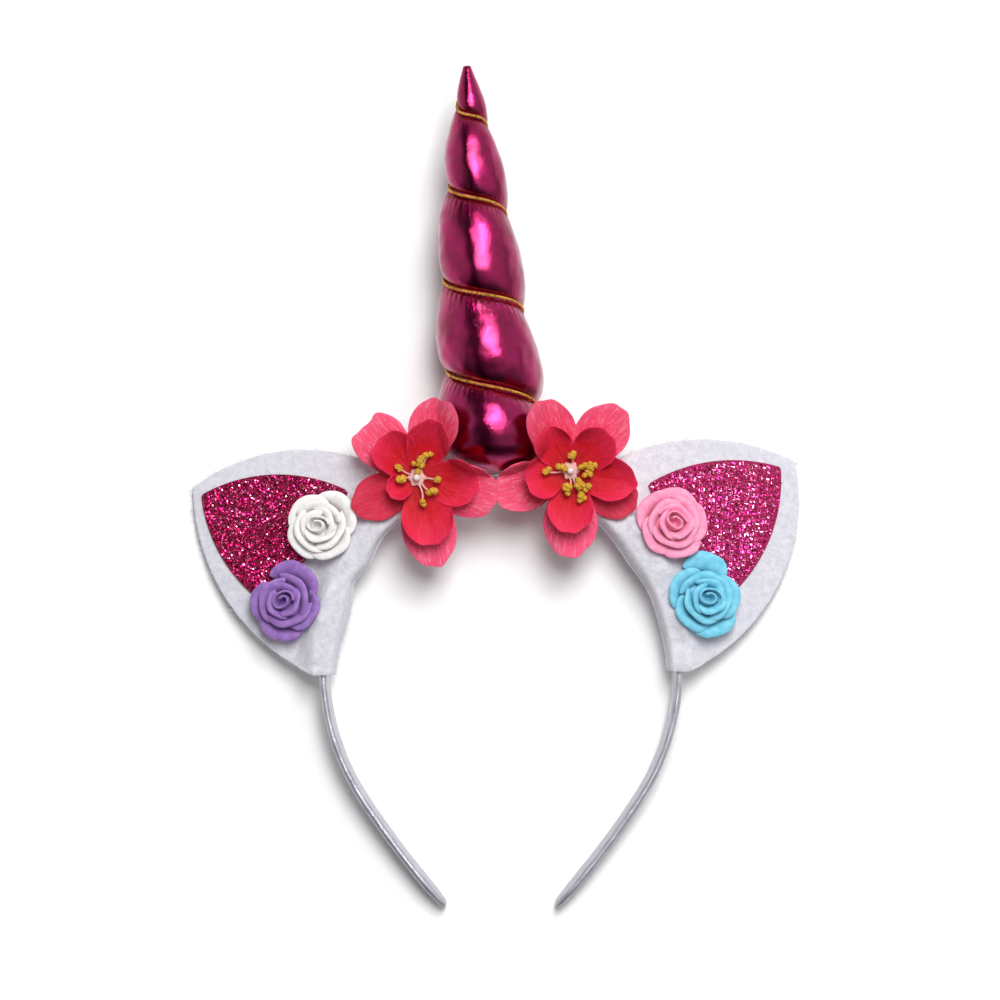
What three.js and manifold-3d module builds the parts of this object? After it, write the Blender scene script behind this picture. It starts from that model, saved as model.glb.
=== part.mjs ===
// A unicorn horn headband: a satin covered hoop that carries a stuffed spiral horn, two folded
// felt ears with glitter panels, four foam roses and two cloth flowers.
// Units are millimetres and degrees. The headband lies on its back with +Z up. +Y runs from the
// ends of the hoop to the tip of the horn, and +X to the right as its front is seen.
// Each piece is worked out in the hoop's own plane, with the middle of the hoop at its widest
// place as origin and its front towards +Z. The whole is tilted at the end so that it rests.
import * as THREE from "three";
import { mergeVertices } from "three/addons/utils/BufferGeometryUtils.js";
import Module from "manifold-3d";

const { clamp, degToRad, lerp, radToDeg, smoothstep } = THREE.MathUtils;
const FULL_TURN = 2 * Math.PI;

// Hoop: half an ellipse over the head, then a tighter and a wider arc on each side
const HOOP_HALF_WIDTH = 63.5;
const HOOP_RISE = 70;
const LEG_BEND_RADIUS = 85;
const LEG_BEND_ANGLE = 33;
const LEG_END_RADIUS = 320;
const LEG_END_ANGLE = 8.8;
const BAND_THICKNESS = 2.4;
const BAND_DEPTH = 9.5;
const BAND_SPLAY = 12;
const BAND_PINCH_LENGTH = 9;
const BAND_PINCH_SHARE = 0.42;

// Gap that touching pieces keep
const CLEARANCE = 0.3;

// Horn: a stuffed cloth cone, drawn in by a thread that winds up it as a left-handed screw
const HORN_LENGTH = 145.6;
const HORN_RADIUS = 20.5;
const HORN_LEAN = 4.4;
const HORN_SIDE_STEP = -1;
const HORN_BOW = -1;
const HORN_SADDLE = 1.8;
const HORN_FOOT_ROUNDING = 9;
const GROOVE_HALF_WIDTH_SHARE = 0.035;
const THREAD_RADIUS = 0.5;

// Ears: one piece of felt each, folded round the hoop into two layers
const FELT_WALL = 1.3;
const EAR_LENGTH = 64;
const SLEEVE_FALL_LENGTH = 3.5;
const FOLD_DEPTH = 6.7;
const PANEL_THICKNESS = 0.8;

// Foam roses
const ROSE_RADIUS = 13.6;
const ROSE_HEIGHT = 12;
const ROSE_WALL = 1.5;

// Cloth flowers
const FLOWER_REACH = 31;
const FLOWER_OUT = 6;
const PETAL_WALL = 1;
const INNER_CUP = 3;
const HUB_RADIUS = 4.6;
const STAMEN_REACH = 9;
const STAMEN_FOOT_RADIUS = 3.1;
const STAMEN_FOOT_THICKNESS = 1;
const STAMEN_LIFT = 2.4;
const FILAMENT_RADIUS = 0.4;
const ANTHER_RADIUS = 1.15;
const PEARL_RADIUS = 1.3;

// The radius of the horn along its length, on the crowns of the lobes and in the groove, and
// how many degrees each turn of the screw is tilted up to the right
const HORN_PROFILE = [
  { along: 0, crown: 0.93, groove: 0.75, tilt: 2 },
  { along: 0.125, crown: 1, groove: 0.73, tilt: 2 },
  { along: 0.25, crown: 0.94, groove: 0.685, tilt: 4 },
  { along: 0.375, crown: 0.84, groove: 0.65, tilt: 8 },
  { along: 0.5, crown: 0.76, groove: 0.59, tilt: 10 },
  { along: 0.625, crown: 0.665, groove: 0.485, tilt: 13 },
  { along: 0.75, crown: 0.535, groove: 0.35, tilt: 20 },
  { along: 0.875, crown: 0.36, groove: 0.21, tilt: 35 },
  { along: 1, crown: 0.075, groove: 0.052, tilt: 35 },
];

// Where the groove crosses the front of the horn, as shares of its length
const GROOVE_CROSSINGS = [
  { turn: -2, along: -0.48 },
  { turn: -1, along: -0.25 },
  { turn: 0, along: -0.02 },
  { turn: 1, along: 0.205 },
  { turn: 2, along: 0.433 },
  { turn: 3, along: 0.671 },
  { turn: 4, along: 0.877 },
  { turn: 5, along: 1.05 },
  { turn: 6, along: 1.22 },
  { turn: 7, along: 1.39 },
];
const LAST_THREAD_TURN = 4.42;

// Rows of the horn's skin within one turn of the screw, closest at the groove
const LOBE_ROWS = [GROOVE_HALF_WIDTH_SHARE, 0.09, 0.2, 0.36, 0.54, 0.72, 0.87];
const LOBE_COLUMNS = 16;
const LOBE_FULLNESS = 0.52;
const LOBE_SAG = 0.9;

// Ears: root angles round the hoop, the anchor and the lean of the middle line, how far each
// edge bows out as a share of its chord, and the corners of the glitter panel as shares of the
// ear's length along and across the middle line
const EARS = {
  left: {
    rootLow: 182, rootHigh: 117.4, anchor: 150, lean: 152.2, tip: 1, bowLow: 0.145, bowHigh: 0.166,
    panel: {
      tip: [0.937, -0.012], high: [0.21, 0.397], low: [0.385, -0.376],
      bowHigh: 0.125, bowLow: 0.1, bowInner: 0.13,
    },
  },
  right: {
    rootLow: -0.9, rootHigh: 65, anchor: 30, lean: 37.6, tip: 1.01, bowLow: 0.177, bowHigh: 0.146,
    panel: {
      tip: [0.928, 0.022], high: [0.27, 0.406], low: [0.269, -0.373],
      bowHigh: 0.107, bowLow: 0.115, bowInner: 0.1,
    },
  },
};

// How far the fold of each ear hangs inside the hoop, as shares of the fold's depth
const FOLDS = {
  left: [
    { along: 0, depth: 0.64 },
    { along: 0.38, depth: 0.86 },
    { along: 0.45, depth: 0.63 },
    { along: 0.56, depth: 0.9 },
    { along: 0.7, depth: 0.6 },
    { along: 1, depth: 0.6 },
  ],
  right: [
    { along: 0, depth: 0.6 },
    { along: 0.25, depth: 0.76 },
    { along: 0.4, depth: 0.8 },
    { along: 0.55, depth: 1 },
    { along: 0.8, depth: 0.8 },
    { along: 1, depth: 0.6 },
  ],
};

// Roses: the ear that carries each one, its place as shares of the ear's length, its size as a
// share of the rose radius, and the turn of its petals
const ROSES = [
  { name: "rose_white", ear: "left", along: 0.23, across: 0.144, size: 0.94, turn: 20, color: 0xd4d0cc },
  { name: "rose_purple", ear: "left", along: 0.205, across: -0.309, size: 1, turn: 96, color: 0x7f57a0 },
  { name: "rose_pink", ear: "right", along: 0.219, across: 0.149, size: 0.98, turn: 200, color: 0xd87ba0 },
  { name: "rose_blue", ear: "right", along: 0.112, across: -0.287, size: 1, turn: 82, color: 0x5fb4d2 },
];

// Rings of a rose's petals: radii as shares of the rose's radius, heights of its height
const ROSE_RINGS = [
  { petals: 5, foot: 0.42, rim: 1, footHeight: 0.2, rimHeight: 0.58, lift: 0.1, rows: [0, 0.6, 1] },
  { petals: 4, foot: 0.34, rim: 0.7, footHeight: 0.3, rimHeight: 0.84, lift: 0.06, rows: [0, 1] },
];
const ROSE_CORE = [
  { radius: 0.32, height: 0 },
  { radius: 0.48, height: 0.4 },
  { radius: 0.22, height: 0.78 },
];
const ROSE_BUD = { foot: 0.2, rim: 0.3, footHeight: 0.55, rimHeight: 1, turns: 1.15, innermost: 0.62 };
const ROSE_RIM_LEAN = 1.1;

// Flowers: place round the hoop, and for each petal its direction, its length and width as shares
// of the flower's reach, the notch in its end and how far it is raised at its end
const FLOWERS = {
  left: {
    at: 115.5,
    outer: [
      { toward: 135, length: 0.96, width: 0.62, notch: 0.12, lift: 0.05 },
      { toward: 72, length: 0.98, width: 0.56, notch: 0.04, lift: 0.18 },
      { toward: -15, length: 0.99, width: 0.6, notch: 0.04, lift: 0.15 },
      { toward: -77, length: 1.03, width: 0.63, notch: -0.03, lift: 0.04 },
      { toward: 207, length: 0.8, width: 0.54, notch: -0.04, lift: 0 },
    ],
    inner: [
      { toward: 132, length: 0.64, width: 0.5, notch: 0.03, lift: 0.22 },
      { toward: 72, length: 0.66, width: 0.5, notch: -0.06, lift: 0.24 },
      { toward: -8, length: 0.72, width: 0.54, notch: 0, lift: 0.2 },
      { toward: -75, length: 0.8, width: 0.6, notch: 0, lift: 0.16 },
      { toward: 208, length: 0.38, width: 0.3, notch: 0, lift: 0.14 },
    ],
    anthers: [
      { toward: 149, reach: 0.77, size: 0.8 },
      { toward: 184, reach: 0.62, size: 0.9 },
      { toward: 80, reach: 0.6, size: 1.25 },
      { toward: 63, reach: 0.98, size: 0.7 },
      { toward: -8, reach: 0.83, size: 0.7 },
      { toward: -42, reach: 0.83, size: 0.85 },
      { toward: -77, reach: 0.98, size: 0.7 },
    ],
  },
  right: {
    at: 69.2,
    outer: [
      { toward: 114, length: 0.88, width: 0.56, notch: 0, lift: 0.2 },
      { toward: 50, length: 0.92, width: 0.62, notch: -0.03, lift: 0.1 },
      { toward: -30, length: 0.87, width: 0.54, notch: 0, lift: 0.01 },
      { toward: 270, length: 0.98, width: 0.62, notch: -0.03, lift: 0.04 },
      { toward: 199, length: 0.93, width: 0.56, notch: 0, lift: 0.03 },
    ],
    inner: [
      { toward: 125, length: 0.58, width: 0.44, notch: 0.05, lift: 0.26 },
      { toward: 42, length: 0.63, width: 0.5, notch: 0.02, lift: 0.26 },
      { toward: -12, length: 0.74, width: 0.5, notch: -0.06, lift: 0.16 },
      { toward: 270, length: 0.72, width: 0.52, notch: 0, lift: 0.18 },
      { toward: 195, length: 0.54, width: 0.48, notch: 0.02, lift: 0.22 },
    ],
    anthers: [
      { toward: 183, reach: 0.95, size: 0.75 },
      { toward: 163, reach: 0.4, size: 0.8 },
      { toward: 80, reach: 0.6, size: 0.85 },
      { toward: 12, reach: 0.7, size: 1.3 },
      { toward: -52, reach: 0.7, size: 1.3 },
      { toward: -100, reach: 0.72, size: 1 },
      { toward: -66, reach: 1.12, size: 0.9 },
    ],
  },
};

const wasm = await Module();
wasm.setup();

// A closed solid of a geometry, for joining and cutting
function solidOf(geometry) {
  const bare = new THREE.BufferGeometry();
  bare.setAttribute("position", geometry.getAttribute("position"));
  bare.setIndex(geometry.getIndex());
  const merged = mergeVertices(bare, 1e-4);
  return new wasm.Manifold(
    new wasm.Mesh({
      numProp: 3,
      vertProperties: new Float32Array(merged.getAttribute("position").array),
      triVerts: new Uint32Array(merged.getIndex().array),
    }),
  );
}

// The geometry of a closed solid
function geometryOf(solid) {
  const mesh = solid.getMesh();
  const geometry = new THREE.BufferGeometry();
  geometry.setAttribute("position", new THREE.BufferAttribute(mesh.vertProperties, 3));
  geometry.setIndex(new THREE.BufferAttribute(mesh.triVerts, 1));
  return geometry;
}

// Several closed geometries joined into one
function fuse(geometries) {
  const solids = geometries.map(solidOf);
  return geometryOf(solids.reduce((joined, solid) => joined.add(solid)));
}

// A geometry of points and faces, turned over if its faces point in
function outward(points, faces) {
  const volume = faces.reduce((sum, [a, b, c]) => {
    return sum + points[a].dot(new THREE.Vector3().crossVectors(points[b], points[c]));
  }, 0);
  const geometry = new THREE.BufferGeometry().setFromPoints(points);
  geometry.setIndex(faces.flatMap(([a, b, c]) => (volume < 0 ? [a, c, b] : [a, b, c])));
  return geometry;
}

function middleOf(points) {
  return points.reduce((sum, p) => sum.add(p), new THREE.Vector3()).divideScalar(points.length);
}

// A closed body through rings of equally many points, with a fan over each end
function loft(rings) {
  const count = rings[0].length;
  const points = rings.flat();
  const faces = [];
  for (let ring = 0; ring < rings.length - 1; ring++) {
    for (let i = 0; i < count; i++) {
      const next = (i + 1) % count;
      const a = ring * count + i;
      const b = ring * count + next;
      faces.push([a, b, b + count], [a, b + count, a + count]);
    }
  }
  const last = (rings.length - 1) * count;
  const foot = points.push(middleOf(rings[0])) - 1;
  const head = points.push(middleOf(rings.at(-1))) - 1;
  for (let i = 0; i < count; i++) {
    const next = (i + 1) % count;
    faces.push([foot, next, i], [head, last + i, last + next]);
  }
  return outward(points, faces);
}

// A closed sheet between a front and a back grid of points, both as rows of equal length
function sheet(front, back) {
  const rows = front.length;
  const columns = front[0].length;
  const points = [...front.flat(), ...back.flat()];
  const faces = [];
  const onFront = (r, c) => r * columns + c;
  const onBack = (r, c) => rows * columns + onFront(r, c);
  const quad = (a, b, c, d) => faces.push([a, b, c], [a, c, d]);
  for (let r = 0; r < rows - 1; r++) {
    for (let c = 0; c < columns - 1; c++) {
      quad(onFront(r, c), onFront(r, c + 1), onFront(r + 1, c + 1), onFront(r + 1, c));
      quad(onBack(r, c), onBack(r + 1, c), onBack(r + 1, c + 1), onBack(r, c + 1));
    }
  }
  const end = rows - 1;
  const side = columns - 1;
  for (let c = 0; c < side; c++) {
    quad(onFront(0, c + 1), onFront(0, c), onBack(0, c), onBack(0, c + 1));
    quad(onFront(end, c), onFront(end, c + 1), onBack(end, c + 1), onBack(end, c));
  }
  for (let r = 0; r < end; r++) {
    quad(onFront(r, 0), onFront(r + 1, 0), onBack(r + 1, 0), onBack(r, 0));
    quad(onFront(r + 1, side), onFront(r, side), onBack(r, side), onBack(r + 1, side));
  }
  return outward(points, faces);
}

// A value from a table, straight between its rows
function tableValue(table, key, column, at) {
  const last = table.length - 1;
  const above = table.findIndex((row) => row[key] > at);
  const to = above < 0 ? last : Math.max(above, 1);
  const from = to - 1;
  const share = (at - table[from][key]) / (table[to][key] - table[from][key]);
  return lerp(table[from][column], table[to][column], share);
}

// A point on the round arc from a to b that bows out to its left by a share of the chord
function arcPoint(a, b, bow, share) {
  const chord = b.clone().sub(a);
  const side = new THREE.Vector2(-chord.y, chord.x);
  const half = 2 * Math.atan(2 * Math.abs(bow));
  const angle = lerp(-half, half, share);
  const along = 0.5 + Math.sin(angle) / (2 * Math.sin(half));
  const out = (Math.cos(angle) - Math.cos(half)) / (2 * Math.sin(half));
  return a.clone().addScaledVector(chord, along).addScaledVector(side, out * Math.sign(bow));
}

// Hoop

function hoopPoint(degrees) {
  const angle = degToRad(degrees);
  return new THREE.Vector2(HOOP_HALF_WIDTH * Math.cos(angle), HOOP_RISE * Math.sin(angle));
}

function hoopNormal(degrees) {
  const angle = degToRad(degrees);
  return new THREE.Vector2(Math.cos(angle) / HOOP_HALF_WIDTH, Math.sin(angle) / HOOP_RISE).normalize();
}

// Distance of a point outside the hoop's centre line, along the line to the middle of the hoop
function outFromHoop(x, y) {
  const ratio = Math.hypot(x / HOOP_HALF_WIDTH, y / HOOP_RISE);
  return Math.hypot(x, y) * (1 - 1 / ratio);
}

// Centre line of the right leg, from its foot up, as places with the hoop's outward normal
function legPlaces() {
  const places = [];
  const place = new THREE.Vector2(HOOP_HALF_WIDTH, 0);
  let heading = 0;
  const follow = (radius, angle, steps) => {
    const turn = degToRad(angle) / steps;
    for (let i = 0; i < steps; i++) {
      const chord = 2 * radius * Math.sin(turn / 2);
      heading += turn / 2;
      place.x -= chord * Math.sin(heading);
      place.y -= chord * Math.cos(heading);
      heading += turn / 2;
      places.push({ at: place.clone(), normal: new THREE.Vector2(Math.cos(heading), -Math.sin(heading)) });
    }
  };
  const bendSteps = 8;
  const endSteps = 7;
  follow(LEG_BEND_RADIUS, LEG_BEND_ANGLE, bendSteps);
  follow(LEG_END_RADIUS, LEG_END_ANGLE, endSteps);
  return places.reverse();
}

function mirrored({ at, normal }) {
  return { at: new THREE.Vector2(-at.x, at.y), normal: new THREE.Vector2(-normal.x, normal.y) };
}

function archPlaces(from, to, steps) {
  return Array.from({ length: steps + 1 }, (unused, i) => {
    const angle = lerp(from, to, i / steps);
    return { at: hoopPoint(angle), normal: hoopNormal(angle) };
  });
}

// Section of the band at a place: two flats joined by half rounds, leaning so that the inner
// face shows from the front
function bandSection({ at, normal }, grow, pinch) {
  const halfThick = (BAND_THICKNESS / 2 + grow) * pinch;
  const halfDeep = (BAND_DEPTH / 2 + grow) * pinch;
  const splay = degToRad(BAND_SPLAY);
  const edgeSteps = 3;
  const ring = [];
  for (const front of [1, -1]) {
    for (let i = 0; i <= edgeSteps; i++) {
      const angle = (Math.PI * i) / edgeSteps;
      const out = front * halfThick * Math.cos(angle);
      const forward = front * (halfDeep - halfThick + halfThick * Math.sin(angle));
      const away = out * Math.cos(splay) + forward * Math.sin(splay);
      const ahead = forward * Math.cos(splay) - out * Math.sin(splay);
      ring.push(new THREE.Vector3(at.x + normal.x * away, at.y + normal.y * away, ahead));
    }
  }
  return ring;
}

function bandGeometry() {
  const leg = legPlaces();
  const archSteps = 28;
  const places = [...leg, ...archPlaces(0, 180, archSteps), ...leg.map(mirrored).reverse()];
  const foot = leg[0].at;
  return loft(
    places.map((place) => {
      const fromEnd = Math.hypot(Math.abs(place.at.x) - foot.x, place.at.y - foot.y);
      const share = Math.sqrt(clamp(fromEnd / BAND_PINCH_LENGTH, 0, 1));
      return bandSection(place, 0, lerp(BAND_PINCH_SHARE, 1, share));
    }),
  );
}

// The room that the band needs along a stretch of the arch
function bandRoom(from, to) {
  const degreesPerStep = 4.5;
  const steps = Math.ceil(Math.abs(to - from) / degreesPerStep);
  return loft(archPlaces(from, to, steps).map((place) => bandSection(place, CLEARANCE, 1)));
}

// Horn, in its own frame: +Y along its axis, +Z to the front

const hornFoot = new THREE.Vector2(HORN_SIDE_STEP, HOOP_RISE + BAND_THICKNESS / 2 + CLEARANCE);

function hornProfile(column, height) {
  const share = clamp(height / HORN_LENGTH, 0, 1);
  return HORN_RADIUS * tableValue(HORN_PROFILE, "along", column, share);
}

// The foot is drawn in like the end of a cushion
function footRounding(height) {
  const least = 0.3;
  const below = 1;
  const start = -HORN_SADDLE - below;
  const share = clamp((height - start) / (HORN_FOOT_ROUNDING - start), 0, 1);
  return Math.max(least, Math.sqrt(1 - (1 - share) ** 2));
}

// The horn's middle line bows to its left between its foot and its tip
function hornBow(height) {
  return HORN_BOW * Math.sin(Math.PI * clamp(height / HORN_LENGTH, 0, 1));
}

// A place on the screw: its height and radius for a turn count and an angle from the front
function screwPlace(turns, angle, radiusAt) {
  const straight = HORN_LENGTH * tableValue(GROOVE_CROSSINGS, "turn", "along", turns - angle / FULL_TURN);
  const tilt = tableValue(HORN_PROFILE, "along", "tilt", clamp(straight / HORN_LENGTH, 0, 1));
  const height = straight + Math.tan(degToRad(tilt)) * hornProfile("groove", straight) * Math.sin(angle);
  const radius = radiusAt(height);
  return new THREE.Vector3(hornBow(height) + radius * Math.sin(angle), height, radius * Math.cos(angle));
}

// Radius on a lobe: the groove's floor at its two ends and round between them
function lobeRadius(turns, height) {
  const share = turns - Math.floor(turns);
  const across = (share - GROOVE_HALF_WIDTH_SHARE) / (1 - 2 * GROOVE_HALF_WIDTH_SHARE);
  const round = Math.sin(Math.PI * clamp(across, 0, 1) ** LOBE_SAG) ** LOBE_FULLNESS;
  const groove = hornProfile("groove", height);
  const crown = hornProfile("crown", height);
  return lerp(groove, crown, across <= 0 || across >= 1 ? 0 : round) * footRounding(height);
}

// The skin of the horn, whose rows follow the screw, so that a row's end meets the start of the
// row one turn below
function hornSkin() {
  const firstTurn = -1;
  const lastTurn = 6;
  const rows = [];
  for (let turn = firstTurn; turn <= lastTurn; turn++) {
    for (const share of [...LOBE_ROWS, 1 - GROOVE_HALF_WIDTH_SHARE]) {
      rows.push(turn + share);
    }
  }
  const perTurn = LOBE_ROWS.length + 1;
  const points = [];
  for (const turns of rows) {
    for (let c = 0; c < LOBE_COLUMNS; c++) {
      const angle = (FULL_TURN * c) / LOBE_COLUMNS;
      points.push(screwPlace(turns, angle, (height) => lobeRadius(turns, height)));
    }
  }
  const id = (r, c) => (c < LOBE_COLUMNS ? r * LOBE_COLUMNS + c : (r - perTurn) * LOBE_COLUMNS);
  const faces = [];
  const top = rows.length - 1;
  for (let r = 0; r < top; r++) {
    for (let c = 0; c < LOBE_COLUMNS; c++) {
      if (c === LOBE_COLUMNS - 1 && r < perTurn) {
        continue;
      }
      faces.push([id(r, c), id(r, c + 1), id(r + 1, c + 1)], [id(r, c), id(r + 1, c + 1), id(r + 1, c)]);
    }
  }
  const side = LOBE_COLUMNS - 1;
  const lowLoop = [];
  const highLoop = [];
  for (let c = 0; c <= side; c++) {
    lowLoop.push(id(0, c));
    highLoop.push(id(top, c));
  }
  for (let r = 1; r <= perTurn; r++) {
    lowLoop.push(id(r, side));
  }
  for (let r = top - perTurn; r < top; r++) {
    highLoop.push(id(r, 0));
  }
  const closeLoop = (loop, turned) => {
    const middle = middleOf(loop.map((i) => points[i]));
    const centre = points.push(new THREE.Vector3(0, middle.y, 0)) - 1;
    loop.forEach((a, i) => {
      const b = loop[(i + 1) % loop.length];
      faces.push(turned ? [centre, a, b] : [centre, b, a]);
    });
  };
  closeLoop(lowLoop, false);
  closeLoop(highLoop, true);
  return outward(points, faces);
}

// The horn between its saddle on the band and its tip
function hornGeometry(toHorn) {
  const wide = 4 * HORN_RADIUS;
  const keep = new THREE.BoxGeometry(wide, HORN_LENGTH + HORN_SADDLE, wide);
  keep.translate(0, (HORN_LENGTH - HORN_SADDLE) / 2, 0);
  const top = 90;
  const nearTop = 2 * radToDeg(HORN_RADIUS / HOOP_HALF_WIDTH);
  const room = bandRoom(top - nearTop, top + nearTop).applyMatrix4(toHorn);
  return geometryOf(solidOf(hornSkin()).intersect(solidOf(keep)).subtract(solidOf(room)));
}

// The thread in the groove, from just above the horn's foot to its tip
function threadGeometry() {
  const firstTurn = 0.62;
  const stepsPerTurn = 15;
  const steps = Math.ceil((LAST_THREAD_TURN - firstTurn) * stepsPerTurn);
  const sides = 5;
  const rings = [];
  for (let i = 0; i <= steps; i++) {
    const angle = -lerp(firstTurn, LAST_THREAD_TURN, i / steps) * FULL_TURN;
    const centre = screwPlace(0, angle, (height) => {
      return hornProfile("groove", height) * footRounding(height) + CLEARANCE + THREAD_RADIUS;
    });
    const radial = new THREE.Vector3(Math.sin(angle), 0, Math.cos(angle));
    rings.push(
      Array.from({ length: sides }, (unused, k) => {
        const around = (FULL_TURN * k) / sides;
        return centre
          .clone()
          .addScaledVector(radial, THREAD_RADIUS * Math.cos(around))
          .add(new THREE.Vector3(0, THREAD_RADIUS * Math.sin(around), 0));
      }),
    );
  }
  return loft(rings);
}

// Height of the horn's crowns over the hoop's plane at a place in it, or nothing beside the horn
function hornFront(x, y, lean) {
  const local = new THREE.Vector2(x, y).sub(hornFoot).rotateAround(new THREE.Vector2(), -lean);
  if (local.y < -HORN_SADDLE || local.y > HORN_LENGTH) {
    return 0;
  }
  const radius = hornProfile("crown", local.y) * footRounding(local.y);
  return Math.sqrt(Math.max(0, radius ** 2 - (local.x - hornBow(local.y)) ** 2));
}

// Ears, in the hoop's plane

const splayedHalfWidth =
  (BAND_THICKNESS / 2) * Math.cos(degToRad(BAND_SPLAY)) + (BAND_DEPTH / 2) * Math.sin(degToRad(BAND_SPLAY));
const sleeveHalfWidth = splayedHalfWidth + CLEARANCE + FELT_WALL;
const sleeveHalfHeight = BAND_DEPTH / 2 + 2 * CLEARANCE + FELT_WALL;

function earAxes(ear) {
  const lean = degToRad(ear.lean);
  const along = new THREE.Vector2(Math.cos(lean), Math.sin(lean));
  const across = new THREE.Vector2(-along.y, along.x).multiplyScalar(along.x < 0 ? -1 : 1);
  return { anchor: hoopPoint(ear.anchor), along, across };
}

function earPlace(ear, along, across) {
  const axes = earAxes(ear);
  return axes.anchor
    .clone()
    .addScaledVector(axes.along, along * EAR_LENGTH)
    .addScaledVector(axes.across, across * EAR_LENGTH);
}

// Where the felt leaves the sleeve at a share of the way round the root, and the ear's outline
function earOutline(ear, share) {
  const tip = earPlace(ear, ear.tip, 0);
  const rootOf = (angle) => hoopPoint(angle).addScaledVector(hoopNormal(angle), sleeveHalfWidth + CLEARANCE);
  const side = earAxes(ear).along.x < 0 ? -1 : 1;
  if (share <= 0.5) {
    return arcPoint(rootOf(ear.rootLow), tip, -side * ear.bowLow, 2 * share);
  }
  return arcPoint(tip, rootOf(ear.rootHigh), -side * ear.bowHigh, 2 * share - 1);
}

// Middle height and half thickness of the felt at a distance outside the hoop
function feltMiddle(slope, out) {
  return -slope * Math.max(0, out - sleeveHalfWidth);
}

function feltHalf(out) {
  const fallen = smoothstep(out, sleeveHalfWidth, sleeveHalfWidth + SLEEVE_FALL_LENGTH);
  return lerp(sleeveHalfHeight, FELT_WALL, fallen);
}

function earFront(slope, x, y) {
  const out = outFromHoop(x, y);
  return feltMiddle(slope, out) + feltHalf(out);
}

// The folded felt of an ear with the hoop's room cut through it
function earFeltGeometry(ear, folds, slope) {
  const columns = 16;
  const foldHalf = FELT_WALL;
  const shoulder = 0.35;
  const reaches = [0.1, 0.28, 0.5, 0.75, 1];
  const front = [];
  const back = [];
  for (let c = 0; c <= columns; c++) {
    const share = c / columns;
    const angle = lerp(ear.rootLow, ear.rootHigh, share);
    const centre = hoopPoint(angle);
    const normal = hoopNormal(angle);
    const fold = FOLD_DEPTH * tableValue(folds, "along", "depth", share);
    const edge = centre.clone().addScaledVector(normal, sleeveHalfWidth);
    const rim = earOutline(ear, share);
    const inward = shoulder * (fold + sleeveHalfWidth);
    const places = [
      { at: centre.clone().addScaledVector(normal, -fold), half: foldHalf },
      { at: centre.clone().addScaledVector(normal, -inward), half: sleeveHalfHeight },
      { at: edge, half: sleeveHalfHeight },
      ...reaches.map((reach) => {
        const at = edge.clone().lerp(rim, reach);
        return { at, half: feltHalf(outFromHoop(at.x, at.y)) };
      }),
    ];
    const middles = places.map(({ at }) => feltMiddle(slope, outFromHoop(at.x, at.y)));
    front.push(places.map(({ at, half }, i) => new THREE.Vector3(at.x, at.y, middles[i] + half)));
    back.push(places.map(({ at, half }, i) => new THREE.Vector3(at.x, at.y, middles[i] - half)));
  }
  const overrun = 6;
  const past = overrun * Math.sign(ear.rootHigh - ear.rootLow);
  const room = bandRoom(ear.rootLow - past, ear.rootHigh + past);
  return geometryOf(solidOf(sheet(front, back)).subtract(solidOf(room)));
}

// The glitter panel that lies on the front of an ear
function glitterGeometry(ear, slope) {
  const { panel } = ear;
  const tip = earPlace(ear, ...panel.tip);
  const high = earPlace(ear, ...panel.high);
  const low = earPlace(ear, ...panel.low);
  const side = earAxes(ear).along.x < 0 ? -1 : 1;
  const columns = 12;
  const rows = 4;
  const least = 0.06;
  const front = [];
  const back = [];
  for (let r = 0; r <= rows; r++) {
    const out = r / rows;
    front.push([]);
    back.push([]);
    for (let c = 0; c <= columns; c++) {
      const share = c / columns;
      const inner = arcPoint(low, high, side * panel.bowInner, share);
      const outer =
        share <= 0.5
          ? arcPoint(low, tip, -side * panel.bowLow, 2 * share)
          : arcPoint(tip, high, -side * panel.bowHigh, 2 * share - 1);
      const at = inner.lerp(outer, lerp(least, 1, out));
      const bottom = earFront(slope, at.x, at.y) + CLEARANCE;
      front[r].push(new THREE.Vector3(at.x, at.y, bottom + PANEL_THICKNESS));
      back[r].push(new THREE.Vector3(at.x, at.y, bottom));
    }
  }
  // The two ends of the inner edge are corners of the panel, where all rows meet
  for (const grid of [front, back]) {
    for (const c of [0, columns]) {
      const corner = grid[0][c];
      grid.forEach((row) => (row[c] = corner.clone()));
    }
  }
  return geometryOf(solidOf(withoutClosedFaces(sheet(front, back))));
}

// A geometry without the faces that closed up to a line
function withoutClosedFaces(geometry) {
  const merged = mergeVertices(geometry, 1e-4);
  const index = merged.getIndex().array;
  const kept = [];
  for (let i = 0; i < index.length; i += 3) {
    const [a, b, c] = index.subarray(i, i + 3);
    if (a !== b && b !== c && c !== a) {
      kept.push(a, b, c);
    }
  }
  merged.setIndex(kept);
  return merged;
}

// Roses, in their own frame: +Z along the bud, foot at the origin

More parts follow.
